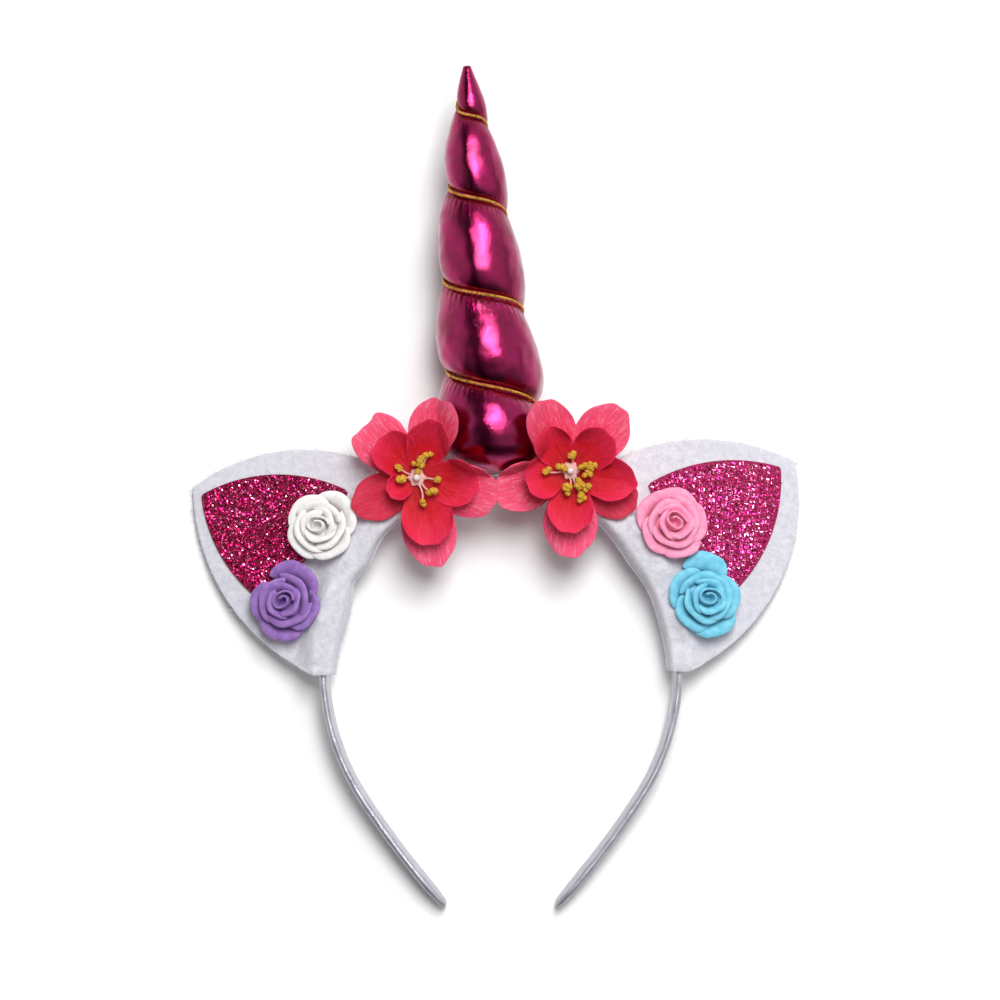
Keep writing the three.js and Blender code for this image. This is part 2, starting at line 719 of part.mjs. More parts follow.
// One ring of petals: a sheet that winds just over once round the bud, in which each petal starts
// inside the one before
function rosePetals(ring, radius, start) {
  const columns = 3;
  const tuck = 0.07;
  const overlap = 1.03;
  const petalSpan = (overlap * FULL_TURN) / ring.petals;
  const seam = 0.04;
  const cornerDraw = 0.14;
  const flare = 1.5;
  const rounding = 0.7;
  const outside = [];
  const inside = [];
  for (const share of ring.rows) {
    outside.push([]);
    inside.push([]);
    for (let i = 0; i < ring.petals * (columns + 1); i++) {
      const petal = Math.floor(i / (columns + 1));
      const sideways = (2 * (i % (columns + 1))) / columns - 1;
      const angle = start + petalSpan * (petal + (sideways * (1 - seam)) / 2);
      const shrink = 1 - cornerDraw * share * sideways ** 4;
      const reach = radius * (lerp(ring.foot, ring.rim, share ** flare) * shrink + tuck * sideways);
      const risen = lerp(ring.footHeight, ring.rimHeight, share ** rounding) + ring.lift * sideways * share;
      const lean = ROSE_RIM_LEAN * share;
      const at = (away, up) => new THREE.Vector3(away * Math.cos(angle), away * Math.sin(angle), up);
      outside.at(-1).push(at(reach, ROSE_HEIGHT * risen - ROSE_WALL * Math.sin(lean)));
      inside.at(-1).push(at(reach - ROSE_WALL * Math.cos(lean), ROSE_HEIGHT * risen));
    }
  }
  return sheet(outside, inside);
}

function roseGeometry({ size, turn }) {
  const radius = ROSE_RADIUS * size;
  const profile = [
    new THREE.Vector2(0, 0),
    ...ROSE_CORE.map((row) => new THREE.Vector2(radius * row.radius, ROSE_HEIGHT * row.height)),
    new THREE.Vector2(0, ROSE_HEIGHT * ROSE_CORE.at(-1).height),
  ];
  const coreSides = 7;
  const pieces = [new THREE.LatheGeometry(profile, coreSides).rotateX(Math.PI / 2)];
  ROSE_RINGS.forEach((ring, level) => {
    pieces.push(rosePetals(ring, radius, degToRad(turn) + level));
  });
  const budSteps = 7;
  const budHole = 0.5;
  const outside = [[], []];
  const inside = [[], []];
  for (let i = 0; i <= budSteps; i++) {
    const share = i / budSteps;
    const angle = degToRad(turn) + share * ROSE_BUD.turns * FULL_TURN;
    const grow = lerp(ROSE_BUD.innermost, 1, share);
    [0, 1].forEach((level) => {
      const away = radius * (level ? ROSE_BUD.rim : ROSE_BUD.foot) * grow;
      const up = ROSE_HEIGHT * (level ? ROSE_BUD.rimHeight : ROSE_BUD.footHeight);
      const at = (out) => new THREE.Vector3(out * Math.cos(angle), out * Math.sin(angle), up);
      outside[level].push(at(away));
      inside[level].push(at(Math.max(away - ROSE_WALL, budHole)));
    });
  }
  pieces.push(sheet(outside, inside));
  return fuse(pieces);
}

// How far a rose is let down on its ear until only the clearance is left between them
function roseDrop(rose, carriers) {
  const rounds = 12;
  const search = 4 * ROSE_WALL;
  let drop = 0;
  for (let i = 0; i < rounds; i++) {
    const lowered = rose.translate([0, 0, -drop]);
    drop += Math.min(...carriers.map((carrier) => lowered.minGap(carrier, search))) - CLEARANCE;
  }
  return drop;
}

// Flowers, in their own frame: heights over the hoop's plane, centre of the flower at x = y = 0

const flowerFloor = sleeveHalfHeight + CLEARANCE;

function flowerCentre(flower) {
  return hoopPoint(flower.at).addScaledVector(hoopNormal(flower.at), FLOWER_OUT);
}

// Underside of a ring of petals: level at the hub, and over the horn's belly where it is in the
// way, with room for the flat faces that stand for both curves
function outerUnderside(centre, lean, x, y) {
  const room = 3 * CLEARANCE;
  return Math.max(flowerFloor, hornFront(centre.x + x, centre.y + y, lean) + room);
}

// A petal widens from its claw at the hub and ends in half an oval
function petalGeometry(petal, underside, cup) {
  const columns = 5;
  const rows = cup > 0 ? [0, 0.5, 1] : [0, 0.3, 0.68, 1];
  const hubShare = 0.06;
  const claw = 0.34;
  const endShare = 0.38;
  const quarter = Math.PI / 2;
  const bend = 2.2;
  const shingle = 0.75 * PETAL_WALL;
  const direction = degToRad(petal.toward);
  const along = new THREE.Vector2(Math.cos(direction), Math.sin(direction));
  const across = new THREE.Vector2(-along.y, along.x);
  const length = FLOWER_REACH * petal.length;
  const halfWidth = (FLOWER_REACH * petal.width) / 2;
  const top = [];
  const bottom = [];
  for (const share of rows) {
    const broad = lerp(claw, 1, Math.sin(quarter * share));
    top.push([]);
    bottom.push([]);
    for (let c = 0; c <= columns; c++) {
      const turn = quarter * ((2 * c) / columns - 1);
      const sideways = Math.sin(turn);
      const roundEnd = 1 - endShare * (1 - Math.cos(turn));
      const notch = 1 - petal.notch * Math.cos(turn) ** 6;
      const out = lerp(hubShare, roundEnd * notch, share);
      const aside = halfWidth * broad * sideways;
      const x = length * out * along.x + across.x * aside;
      const y = length * out * along.y + across.y * aside;
      const raised = FLOWER_REACH * petal.lift * out ** bend;
      const cupped = cup * share ** 2 * sideways ** 2;
      const shingled = shingle * sideways * share;
      const low = underside(x, y) + PETAL_WALL + raised + cupped + shingled;
      bottom.at(-1).push(new THREE.Vector3(x, y, low));
      top.at(-1).push(new THREE.Vector3(x, y, low + PETAL_WALL));
    }
  }
  return sheet(top, bottom);
}

function hubGeometry(underside) {
  const sides = 12;
  const ringOf = (radius, up) =>
    Array.from({ length: sides }, (unused, i) => {
      const angle = (FULL_TURN * i) / sides;
      const x = radius * Math.cos(angle);
      const y = radius * Math.sin(angle);
      return new THREE.Vector3(x, y, underside(x, y) + up);
    });
  return loft([ringOf(HUB_RADIUS, 0), ringOf(HUB_RADIUS, 2 * PETAL_WALL)]);
}

function petalRing(petals, underside, cup) {
  return fuse([hubGeometry(underside), ...petals.map((petal) => petalGeometry(petal, underside, cup))]);
}

function rodBetween(from, to, radius) {
  const sides = 4;
  const rod = new THREE.CylinderGeometry(radius, radius, from.distanceTo(to), sides);
  const up = new THREE.Vector3(0, 1, 0);
  const turned = new THREE.Quaternion().setFromUnitVectors(up, to.clone().sub(from).normalize());
  rod.applyQuaternion(turned);
  const middle = from.clone().add(to).multiplyScalar(0.5);
  return rod.translate(middle.x, middle.y, middle.z);
}

function diskGeometry(radius, thickness, sides) {
  const disk = new THREE.CylinderGeometry(radius, radius, thickness, sides);
  return disk.rotateX(Math.PI / 2).translate(0, 0, thickness / 2);
}

// The foot, the filaments and the sugared anthers, fused into one cluster with its foot at z = 0
function stamensGeometry(anthers) {
  const footSides = 10;
  const rootShare = 0.7;
  const pieces = [diskGeometry(STAMEN_FOOT_RADIUS, STAMEN_FOOT_THICKNESS, footSides)];
  for (const { toward, reach, size } of anthers) {
    const angle = degToRad(toward);
    const place = (out, up) => new THREE.Vector3(out * Math.cos(angle), out * Math.sin(angle), up);
    const start = place(rootShare * STAMEN_FOOT_RADIUS, STAMEN_FOOT_THICKNESS / 2);
    const end = place(STAMEN_REACH * reach, STAMEN_FOOT_THICKNESS / 2 + STAMEN_LIFT);
    pieces.push(rodBetween(start, end, FILAMENT_RADIUS));
    const anther = new THREE.IcosahedronGeometry(ANTHER_RADIUS * size, 0);
    pieces.push(anther.translate(end.x, end.y, end.z));
  }
  return fuse(pieces);
}

// Finishes

function finish(color, roughness, metalness = 0) {
  return new THREE.MeshStandardMaterial({ color, roughness, metalness });
}

function piece(name, geometry, material) {
  const mesh = new THREE.Mesh(geometry, material);
  mesh.name = name;
  return mesh;
}

// The horn and its thread, placed on the top of the hoop

const hornGroup = new THREE.Group();
hornGroup.position.set(hornFoot.x, hornFoot.y, 0);
hornGroup.rotation.z = degToRad(HORN_LEAN);
hornGroup.updateMatrix();
const toHorn = hornGroup.matrix.clone().invert();
const hornSolid = hornGeometry(toHorn);
hornGroup.add(
  piece("horn", hornSolid, finish(0x9c114f, 0.25, 0.8)),
  piece("horn_thread", threadGeometry(), finish(0xc9992c, 0.35, 0.9)),
);

const bandSolid = bandGeometry();

// The line that the horn's belly and the ends of the hoop rest on, seen from the side, as a
// height over the hoop's plane at y = 0 and its rise for each millimetre of y
function restLine() {
  const pointsOf = (geometry, matrix) => {
    const position = geometry.getAttribute("position");
    return Array.from({ length: position.count }, (unused, i) => {
      return new THREE.Vector3().fromBufferAttribute(position, i).applyMatrix4(matrix);
    });
  };
  const ends = pointsOf(bandSolid, new THREE.Matrix4()).filter((p) => p.y < 0);
  const belly = pointsOf(hornSolid, hornGroup.matrix);
  const lowest = (points, rise) => points.reduce((a, b) => (b.z - rise * b.y < a.z - rise * a.y ? b : a));
  let rise = 0;
  const rounds = 8;
  for (let i = 0; i < rounds; i++) {
    const end = lowest(ends, rise);
    const under = lowest(belly, rise);
    rise = (under.z - end.z) / (under.y - end.y);
  }
  const end = lowest(ends, rise);
  return { rise, start: end.z - rise * end.y };
}

const rest = restLine();
const hornLean = degToRad(HORN_LEAN);

// The ears droop until the backs of their tips touch the same surface
function droopOf(ear) {
  const tip = earPlace(ear, ear.tip, 0);
  const drop = -(rest.start + rest.rise * tip.y + FELT_WALL);
  return drop / (outFromHoop(tip.x, tip.y) - sleeveHalfWidth);
}

// A rose upright on the slope of its ear, let down onto it
function roseOn(ear, slope, rose, carriers) {
  const at = earPlace(ear, rose.along, rose.across);
  const step = 1;
  const normal = new THREE.Vector3(
    earFront(slope, at.x, at.y) - earFront(slope, at.x + step, at.y),
    earFront(slope, at.x, at.y) - earFront(slope, at.x, at.y + step),
    step,
  ).normalize();
  const mesh = piece(rose.name, roseGeometry(rose), finish(rose.color, 0.8));
  mesh.quaternion.setFromUnitVectors(new THREE.Vector3(0, 0, 1), normal);
  mesh.position.set(at.x, at.y, earFront(slope, at.x, at.y) + PANEL_THICKNESS + 4 * CLEARANCE);
  mesh.updateMatrix();
  mesh.position.z -= roseDrop(solidOf(mesh.geometry.clone().applyMatrix4(mesh.matrix)), carriers);
  return mesh;
}

const headband = new THREE.Group();
headband.add(piece("band", bandSolid, finish(0xa6a3b0, 0.45)), hornGroup);

const felt = finish(0xd8d4e0, 0.95);
const glitter = finish(0x8c0c48, 0.35, 0.4);
for (const [side, ear] of Object.entries(EARS)) {
  const slope = droopOf(ear);
  const layers = [earFeltGeometry(ear, FOLDS[side], slope), glitterGeometry(ear, slope)];
  headband.add(
    piece(`ear_felt_${side}`, layers[0], felt.clone()),
    piece(`ear_glitter_${side}`, layers[1], glitter.clone()),
  );
  const carriers = layers.map(solidOf);
  for (const rose of ROSES.filter((row) => row.ear === side)) {
    headband.add(roseOn(ear, slope, rose, carriers));
  }
}

for (const [side, flower] of Object.entries(FLOWERS)) {
  const centre = flowerCentre(flower);
  const outerField = (x, y) => outerUnderside(centre, hornLean, x, y);
  const layerRise = 2 * PETAL_WALL + 2 * CLEARANCE;
  const innerField = (x, y) => outerField(x, y) + layerRise;
  const group = new THREE.Group();
  group.position.set(centre.x, centre.y, 0);
  const foot = flowerFloor + 2 * layerRise;
  const stamens = piece(
    `flower_${side}_stamens`,
    stamensGeometry(flower.anthers),
    finish(0xd8aa30, 0.7),
  );
  stamens.position.z = foot;
  const pearl = piece(
    `flower_${side}_pearl`,
    new THREE.SphereGeometry(PEARL_RADIUS, 9, 6),
    finish(0xf2ece4, 0.2, 0.1),
  );
  pearl.position.z = foot + STAMEN_FOOT_THICKNESS + CLEARANCE + PEARL_RADIUS;
  group.add(
    piece(`flower_${side}_outer_petals`, petalRing(flower.outer, outerField, 0), finish(0xe44c70, 0.85)),
    piece(
      `flower_${side}_inner_petals`,
      petalRing(flower.inner, innerField, INNER_CUP),
      finish(0xd41636, 0.8),
    ),
    stamens,
    pearl,
  );
  headband.add(group);
}

// Laid down to rest, with the middle of its footprint at the origin
const tilt = Math.atan(-rest.rise);
headband.rotation.x = tilt;
const part = new THREE.Group();
part.add(headband);
part.updateMatrixWorld(true);
const extent = new THREE.Box3().setFromObject(part, true);
const middle = extent.getCenter(new THREE.Vector3());
headband.position.set(-middle.x, -middle.y, -extent.min.z);

export default part;
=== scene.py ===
"""The looks of a unicorn horn headband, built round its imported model.

Sizes are millimetres and degrees in the hoop's own plane: the origin is the middle of the hoop at
its widest place, +X is to the right as the front is seen, +Y points along the horn and +Z to the
front. HoopPlane turns them to the frame of the part, in metres.
"""

import logging
import math
from dataclasses import dataclass, field
from enum import Enum

import bpy
import numpy as np
from mathutils import Matrix, Vector, noise


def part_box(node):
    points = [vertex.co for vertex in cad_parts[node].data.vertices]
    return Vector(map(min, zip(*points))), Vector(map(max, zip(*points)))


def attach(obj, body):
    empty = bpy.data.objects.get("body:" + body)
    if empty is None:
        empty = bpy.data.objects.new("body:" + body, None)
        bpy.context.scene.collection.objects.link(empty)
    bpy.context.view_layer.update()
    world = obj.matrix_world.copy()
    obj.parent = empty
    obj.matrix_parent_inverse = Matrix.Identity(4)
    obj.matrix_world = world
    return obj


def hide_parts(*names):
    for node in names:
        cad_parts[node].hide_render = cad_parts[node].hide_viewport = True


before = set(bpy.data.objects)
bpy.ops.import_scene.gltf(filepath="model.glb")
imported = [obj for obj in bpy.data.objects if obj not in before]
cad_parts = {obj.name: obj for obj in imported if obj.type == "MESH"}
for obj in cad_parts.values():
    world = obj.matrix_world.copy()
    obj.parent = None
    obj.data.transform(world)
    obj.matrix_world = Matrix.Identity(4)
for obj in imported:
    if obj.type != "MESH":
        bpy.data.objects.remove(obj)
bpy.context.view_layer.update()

logging.basicConfig(level=logging.INFO, format="%(message)s")
log = logging.getLogger("headband")

MM = 0.001
FULL_TURN = 2 * math.pi


class Side(Enum):
    """The two sides of the headband, as its front is seen."""

    LEFT = "left"
    RIGHT = "right"


# Small geometry helpers


def unit(vectors: np.ndarray) -> np.ndarray:
    """Vectors made one long."""
    return vectors / np.maximum(np.linalg.norm(vectors, axis=-1, keepdims=True), 1e-9)


def polar(degrees: float, radius: float = 1.0) -> np.ndarray:
    """A point of the plane at an angle from +X."""
    return radius * np.array([math.cos(math.radians(degrees)), math.sin(math.radians(degrees))])


def smoothstep(values: np.ndarray, low: float, high: float) -> np.ndarray:
    """A soft step from 0 at low to 1 at high."""
    share = np.clip((np.asarray(values, float) - low) / (high - low), 0, 1)
    return share * share * (3 - 2 * share)


def eased(count: int) -> np.ndarray:
    """Shares from 0 to 1 that lie closer near both ends."""
    return (1 - np.cos(np.linspace(0, math.pi, count))) / 2


def smooth_value(table: np.ndarray, at: np.ndarray) -> np.ndarray:
    """Reads a table with a smooth curve through its rows.

    Args:
        table: rows of a key and its value, with rising keys.
        at: keys to read at; past the ends the curve goes on straight.

    Returns:
        The values at those keys.
    """
    keys, values = np.asarray(table, float).T
    slopes = np.gradient(values, keys)
    at = np.asarray(at, float)
    low = np.clip(np.searchsorted(keys, at, side="right") - 1, 0, len(keys) - 2)
    span = keys[low + 1] - keys[low]
    share = (at - keys[low]) / span
    inside = np.clip(share, 0, 1)
    square, cube = inside**2, inside**3
    curve = (
        (2 * cube - 3 * square + 1) * values[low]
        + (cube - 2 * square + inside) * span * slopes[low]
        + (3 * square - 2 * cube) * values[low + 1]
        + (cube - square) * span * slopes[low + 1]
    )
    beyond = (share - inside) * span
    return curve + beyond * np.where(share > 1, slopes[low + 1], slopes[low])


def arc_point(start: np.ndarray, end: np.ndarray, bow: float, share: float) -> np.ndarray:
    """A point on a round arc between two points.

    Args:
        start: where the arc begins.
        end: where it ends.
        bow: how far it bows out to its left, as a share of its chord.
        share: the way along it, from 0 to 1.

    Returns:
        The point at that share.
    """
    chord = end - start
    side = np.array([-chord[1], chord[0]])
    half = 2 * math.atan(2 * abs(bow))
    angle = half * (2 * share - 1)
    along = 0.5 + math.sin(angle) / (2 * math.sin(half))
    out = (math.cos(angle) - math.cos(half)) / (2 * math.sin(half))
    return start + chord * along + side * out * math.copysign(1, bow)


def lumps(points: np.ndarray, scale: float, seed: float = 0.0) -> np.ndarray:
    """Smooth noise from about -1 to 1 at each point.

    Args:
        points: places, one to a row, in millimetres.
        scale: size of a lump in millimetres.
        seed: shift that gives another pattern.

    Returns:
        One number for each point.
    """
    shift = Vector((seed, 1.7 * seed, -seed))
    flat = points.reshape(-1, 3) / scale
    values = [noise.noise(Vector(point) + shift) for point in flat]
    return np.array(values).reshape(points.shape[:-1])


@dataclass(frozen=True)
class HoopPlane:
    """Where the hoop's own plane lies in the frame of the part."""

    tilt: float = 5.0355
    shift: tuple[float, float, float] = (1.99784, -65.18869, 11.28844)

    def matrix(self) -> np.ndarray:
        """The turn of the plane about X, as three rows.

        Returns:
            The matrix.
        """
        angle = math.radians(self.tilt)
        cos, sin = math.cos(angle), math.sin(angle)
        return np.array([[1, 0, 0], [0, cos, -sin], [0, sin, cos]])

    def to_part(self, points: np.ndarray) -> np.ndarray:
        """Points of the hoop's plane, in millimetres, in the frame of the part in metres."""
        return (np.asarray(points, float) @ self.matrix().T + np.array(self.shift)) * MM

    def from_part(self, points: np.ndarray) -> np.ndarray:
        """Points of the part's frame in the hoop's plane."""
        return (np.asarray(points, float) / MM - np.array(self.shift)) @ self.matrix()

    def floor_height(self, y: float) -> float:
        """Height of the floor over the hoop's plane at a distance up it."""
        angle = math.radians(self.tilt)
        return -(self.shift[2] + math.sin(angle) * y) / math.cos(angle)


PLANE = HoopPlane()


@dataclass
class Patchwork:
    """Points and faces gathered for one mesh, with surface coordinates and a tint per point."""

    points: list[np.ndarray] = field(default_factory=list)
    faces: list[list[int]] = field(default_factory=list)
    coords: list[np.ndarray] = field(default_factory=list)
    tints: list[np.ndarray] = field(default_factory=list)
    count: int = 0

    def add(
        self,
        points: np.ndarray,
        faces: np.ndarray | list[list[int]],
        coords: np.ndarray | None = None,
        tint: np.ndarray | float = 0.0,
    ) -> None:
        """Adds one body or surface.

        Args:
            points: its points in the hoop's plane, one to a row.
            faces: its faces, as rows of point numbers.
            coords: two surface coordinates for each point, or none.
            tint: a number for each point, or one for all.
        """
        rows = faces.tolist() if isinstance(faces, np.ndarray) else faces
        self.points.append(points)
        self.faces.extend([[i + self.count for i in row] for row in rows])
        self.coords.append(np.zeros((len(points), 2)) if coords is None else coords)
        self.tints.append(np.broadcast_to(np.asarray(tint, float), (len(points),)))
        self.count += len(points)

    def build(
        self, name: str, material: bpy.types.Material, crease: float = 50.0
    ) -> bpy.types.Object:
        """Makes the object.

        Args:
            name: its name.
            material: its finish.
            crease: angle in degrees past which an edge stays sharp.

        Returns:
            The object, linked to the scene.
        """
        mesh = bpy.data.meshes.new(name)
        mesh.from_pydata(PLANE.to_part(np.concatenate(self.points)).tolist(), [], self.faces)
        corners = np.zeros(len(mesh.loops), np.int32)
        mesh.loops.foreach_get("vertex_index", corners)
        layer = mesh.uv_layers.new(name="UVMap")
        coords = np.concatenate(self.coords).astype(np.float32)
        layer.data.foreach_set("uv", coords[corners].ravel())
        tint = mesh.attributes.new("tint", "FLOAT", "POINT")
        tint.data.foreach_set("value", np.concatenate(self.tints).astype(np.float32))
        mesh.shade_smooth()
        mesh.set_sharp_from_angle(angle=math.radians(crease))
        mesh.materials.append(material)
        mesh.update()
        piece = bpy.data.objects.new(name, mesh)
        bpy.context.scene.collection.objects.link(piece)
        return piece


def grid_faces(rows: int, columns: int, wrap: bool = False) -> np.ndarray:
    """Four-sided faces of a grid of points.

    Args:
        rows: number of rows.
        columns: points in a row.
        wrap: whether the last column meets the first.

    Returns:
        The faces, as rows of four point numbers.
    """
    r = np.arange(rows - 1)[:, None]
    c = np.arange(columns if wrap else columns - 1)[None, :]
    n = (c + 1) % columns
    quads = [r * columns + c, r * columns + n, (r + 1) * columns + n, (r + 1) * columns + c]
    return np.stack([np.broadcast_to(q, (rows - 1, c.shape[1])) for q in quads], -1).reshape(-1, 4)


def grid_normals(points: np.ndarray) -> np.ndarray:
    """Unit normals of a grid of points, by rows and columns."""
    return unit(np.cross(np.gradient(points, axis=1), np.gradient(points, axis=0)))


def cell_areas(points: np.ndarray) -> np.ndarray:
    """Area of each cell of a grid of points, in square millimetres."""
    down, across = np.diff(points, axis=0)[:, :-1], np.diff(points, axis=1)[:-1]
    return np.linalg.norm(np.cross(down, across), axis=-1)


def end_faces(rows: int, columns: int) -> list[list[int]]:
    """The faces that close the two ends of a stack of rings."""
    return [list(range(columns))[::-1], list(range((rows - 1) * columns, rows * columns))]


def grid_coords(rows: int, columns: int) -> np.ndarray:
    """Surface coordinates of a grid: the share along its columns, then along its rows."""
    across, along = np.meshgrid(np.linspace(0, 1, columns), np.linspace(0, 1, rows))
    return np.stack([across, along], -1)


def rim_distance(points: np.ndarray) -> np.ndarray:
    """Distance of each point of a grid from the nearest rim, along its row or column.

    Args:
        points: the points, by rows and columns.

    Returns:
        The distances, by rows and columns.
    """
    far = np.full(points.shape[:2], np.inf)
    for axis in (0, 1):
        steps = np.linalg.norm(np.diff(points, axis=axis), axis=-1)
        pad = [(1, 0) if a == axis else (0, 0) for a in (0, 1)]
        run = np.cumsum(np.pad(steps, pad), axis=axis)
        total = np.take(run, [-1], axis=axis)
        far = np.minimum(far, np.minimum(run, total - run))
    return far


def add_rings(
    work: Patchwork,
    rings: np.ndarray,
    coords: np.ndarray | None = None,
    tint: np.ndarray | float = 0.0,
) -> None:
    """Adds a closed body over a stack of rings, with a flat face at each end.

    Args:
        work: where it is added.
        rings: the points of the rings, by rings from the foot up.
        coords: two surface coordinates for each point, or none.
        tint: a number kept on its points.
    """
    rows, columns = rings.shape[:2]
    sides = grid_faces(rows, columns, wrap=True).tolist()
    work.add(rings.reshape(-1, 3), sides + end_faces(rows, columns), coords, tint)


def add_slab(
    work: Patchwork,
    middle: np.ndarray,
    wall: float,
    round_rim: bool = True,
    coords: np.ndarray | None = None,
    tint: np.ndarray | float = 0.0,
) -> None:
    """Adds a closed sheet of even thickness round a grid of middle points.

    Args:
        work: where it is added.
        middle: the grid of points halfway through the sheet.
        wall: thickness of the sheet.
        round_rim: whether its rim is rounded off.
        coords: surface coordinates of the grid, or none for even shares.
        tint: a number for each point of the grid, or one for all.
    """
    rows, columns = middle.shape[:2]
    half = np.full((rows, columns), wall / 2)
    if round_rim:
        near = np.clip(rim_distance(middle) / (wall / 2), 0, 1)
        half = half * np.maximum(0.35, np.sqrt(1 - (1 - near) ** 2))
    away = grid_normals(middle) * half[..., None]
    count = rows * columns
    points = np.concatenate([(middle + away).reshape(-1, 3), (middle - away).reshape(-1, 3)])
    front = grid_faces(rows, columns)
    number = np.arange(count).reshape(rows, columns)
    loop = np.concatenate([number[0, :-1], number[:-1, -1], number[-1, :0:-1], number[:0:-1, 0]])
    onward = np.roll(loop, -1)
    wall_faces = np.stack([onward, loop, loop + count, onward + count], -1)
    faces = np.concatenate([front, front[:, ::-1] + count, wall_faces])
    flat = (grid_coords(rows, columns) if coords is None else coords).reshape(-1, 2)
    shade = np.broadcast_to(np.asarray(tint, float), (rows, columns)).reshape(-1)
    work.add(points, faces, np.concatenate([flat, flat]), np.concatenate([shade, shade]))


def add_tube(
    work: Patchwork, path: np.ndarray, radius: float, sides: int, tint: float = 0.0
) -> None:
    """Adds a closed round tube along a path.

    Args:
        work: where it is added.
        path: points of its middle line.
        radius: its radius.
        sides: number of flat sides round it.
        tint: a number kept on its points.
    """
    ahead = unit(np.gradient(path, axis=0))
    guide = np.array([0.31, 0.17, 0.93])
    first = unit(np.cross(ahead, guide))
    second = np.cross(ahead, first)
    around = np.linspace(0, FULL_TURN, sides, endpoint=False)[None, :, None]
    ring = np.cos(around) * first[:, None] + np.sin(around) * second[:, None]
    rings = path[:, None] + radius * ring
    add_rings(work, rings, grid_coords(len(path), sides).reshape(-1, 2), tint)


def ball(rows: int, columns: int) -> tuple[np.ndarray, list[list[int]]]:
    """Points of a ball of radius 1 as rings between two poles, and its faces.

    Args:
        rows: steps from pole to pole.
        columns: points in a ring.

    Returns:
        The points, and the faces as lists of point numbers.
    """
    points = [np.array([[0.0, 0.0, 1.0]])]
    for ring in range(1, rows):
        down = math.pi * ring / rows
        around = np.linspace(0, FULL_TURN, columns, endpoint=False)
        wide, level = math.sin(down), np.full(columns, math.cos(down))
        points.append(np.stack([wide * np.cos(around), wide * np.sin(around), level], -1))
    points.append(np.array([[0.0, 0.0, -1.0]]))
    faces = []
    last = (rows - 2) * columns
    for c in range(columns):
        n = (c + 1) % columns
        faces.append([0, 1 + c, 1 + n])
        for ring in range(rows - 2):
            start = 1 + ring * columns
            faces.append([start + c, start + columns + c, start + columns + n, start + n])
        faces.append([1 + last + c, 1 + last + columns, 1 + last + n])
    return np.concatenate(points), faces


def add_ball(
    work: Patchwork,
    centre: np.ndarray,
    radius: float,
    rows: int,
    bumps: float = 0.0,
    seed: float = 0.0,
) -> None:
    """Adds a ball with a lumpy skin.

    Args:
        work: where it is added.
        centre: its middle.
        radius: its radius.
        rows: steps from pole to pole; it has twice as many round its middle.
        bumps: height of its lumps as a share of the radius.
        seed: shift of the lump pattern.
    """
    shape, faces = ball(rows, 2 * rows)
    if bumps:
        fine, coarse = lumps(shape, 0.28, seed), lumps(shape, 0.8, seed)
        shape = shape * (1 + bumps * fine + 0.6 * bumps * coarse)[:, None]
    work.add(centre + radius * shape, faces, shape[:, :2], seed)


# Finishes


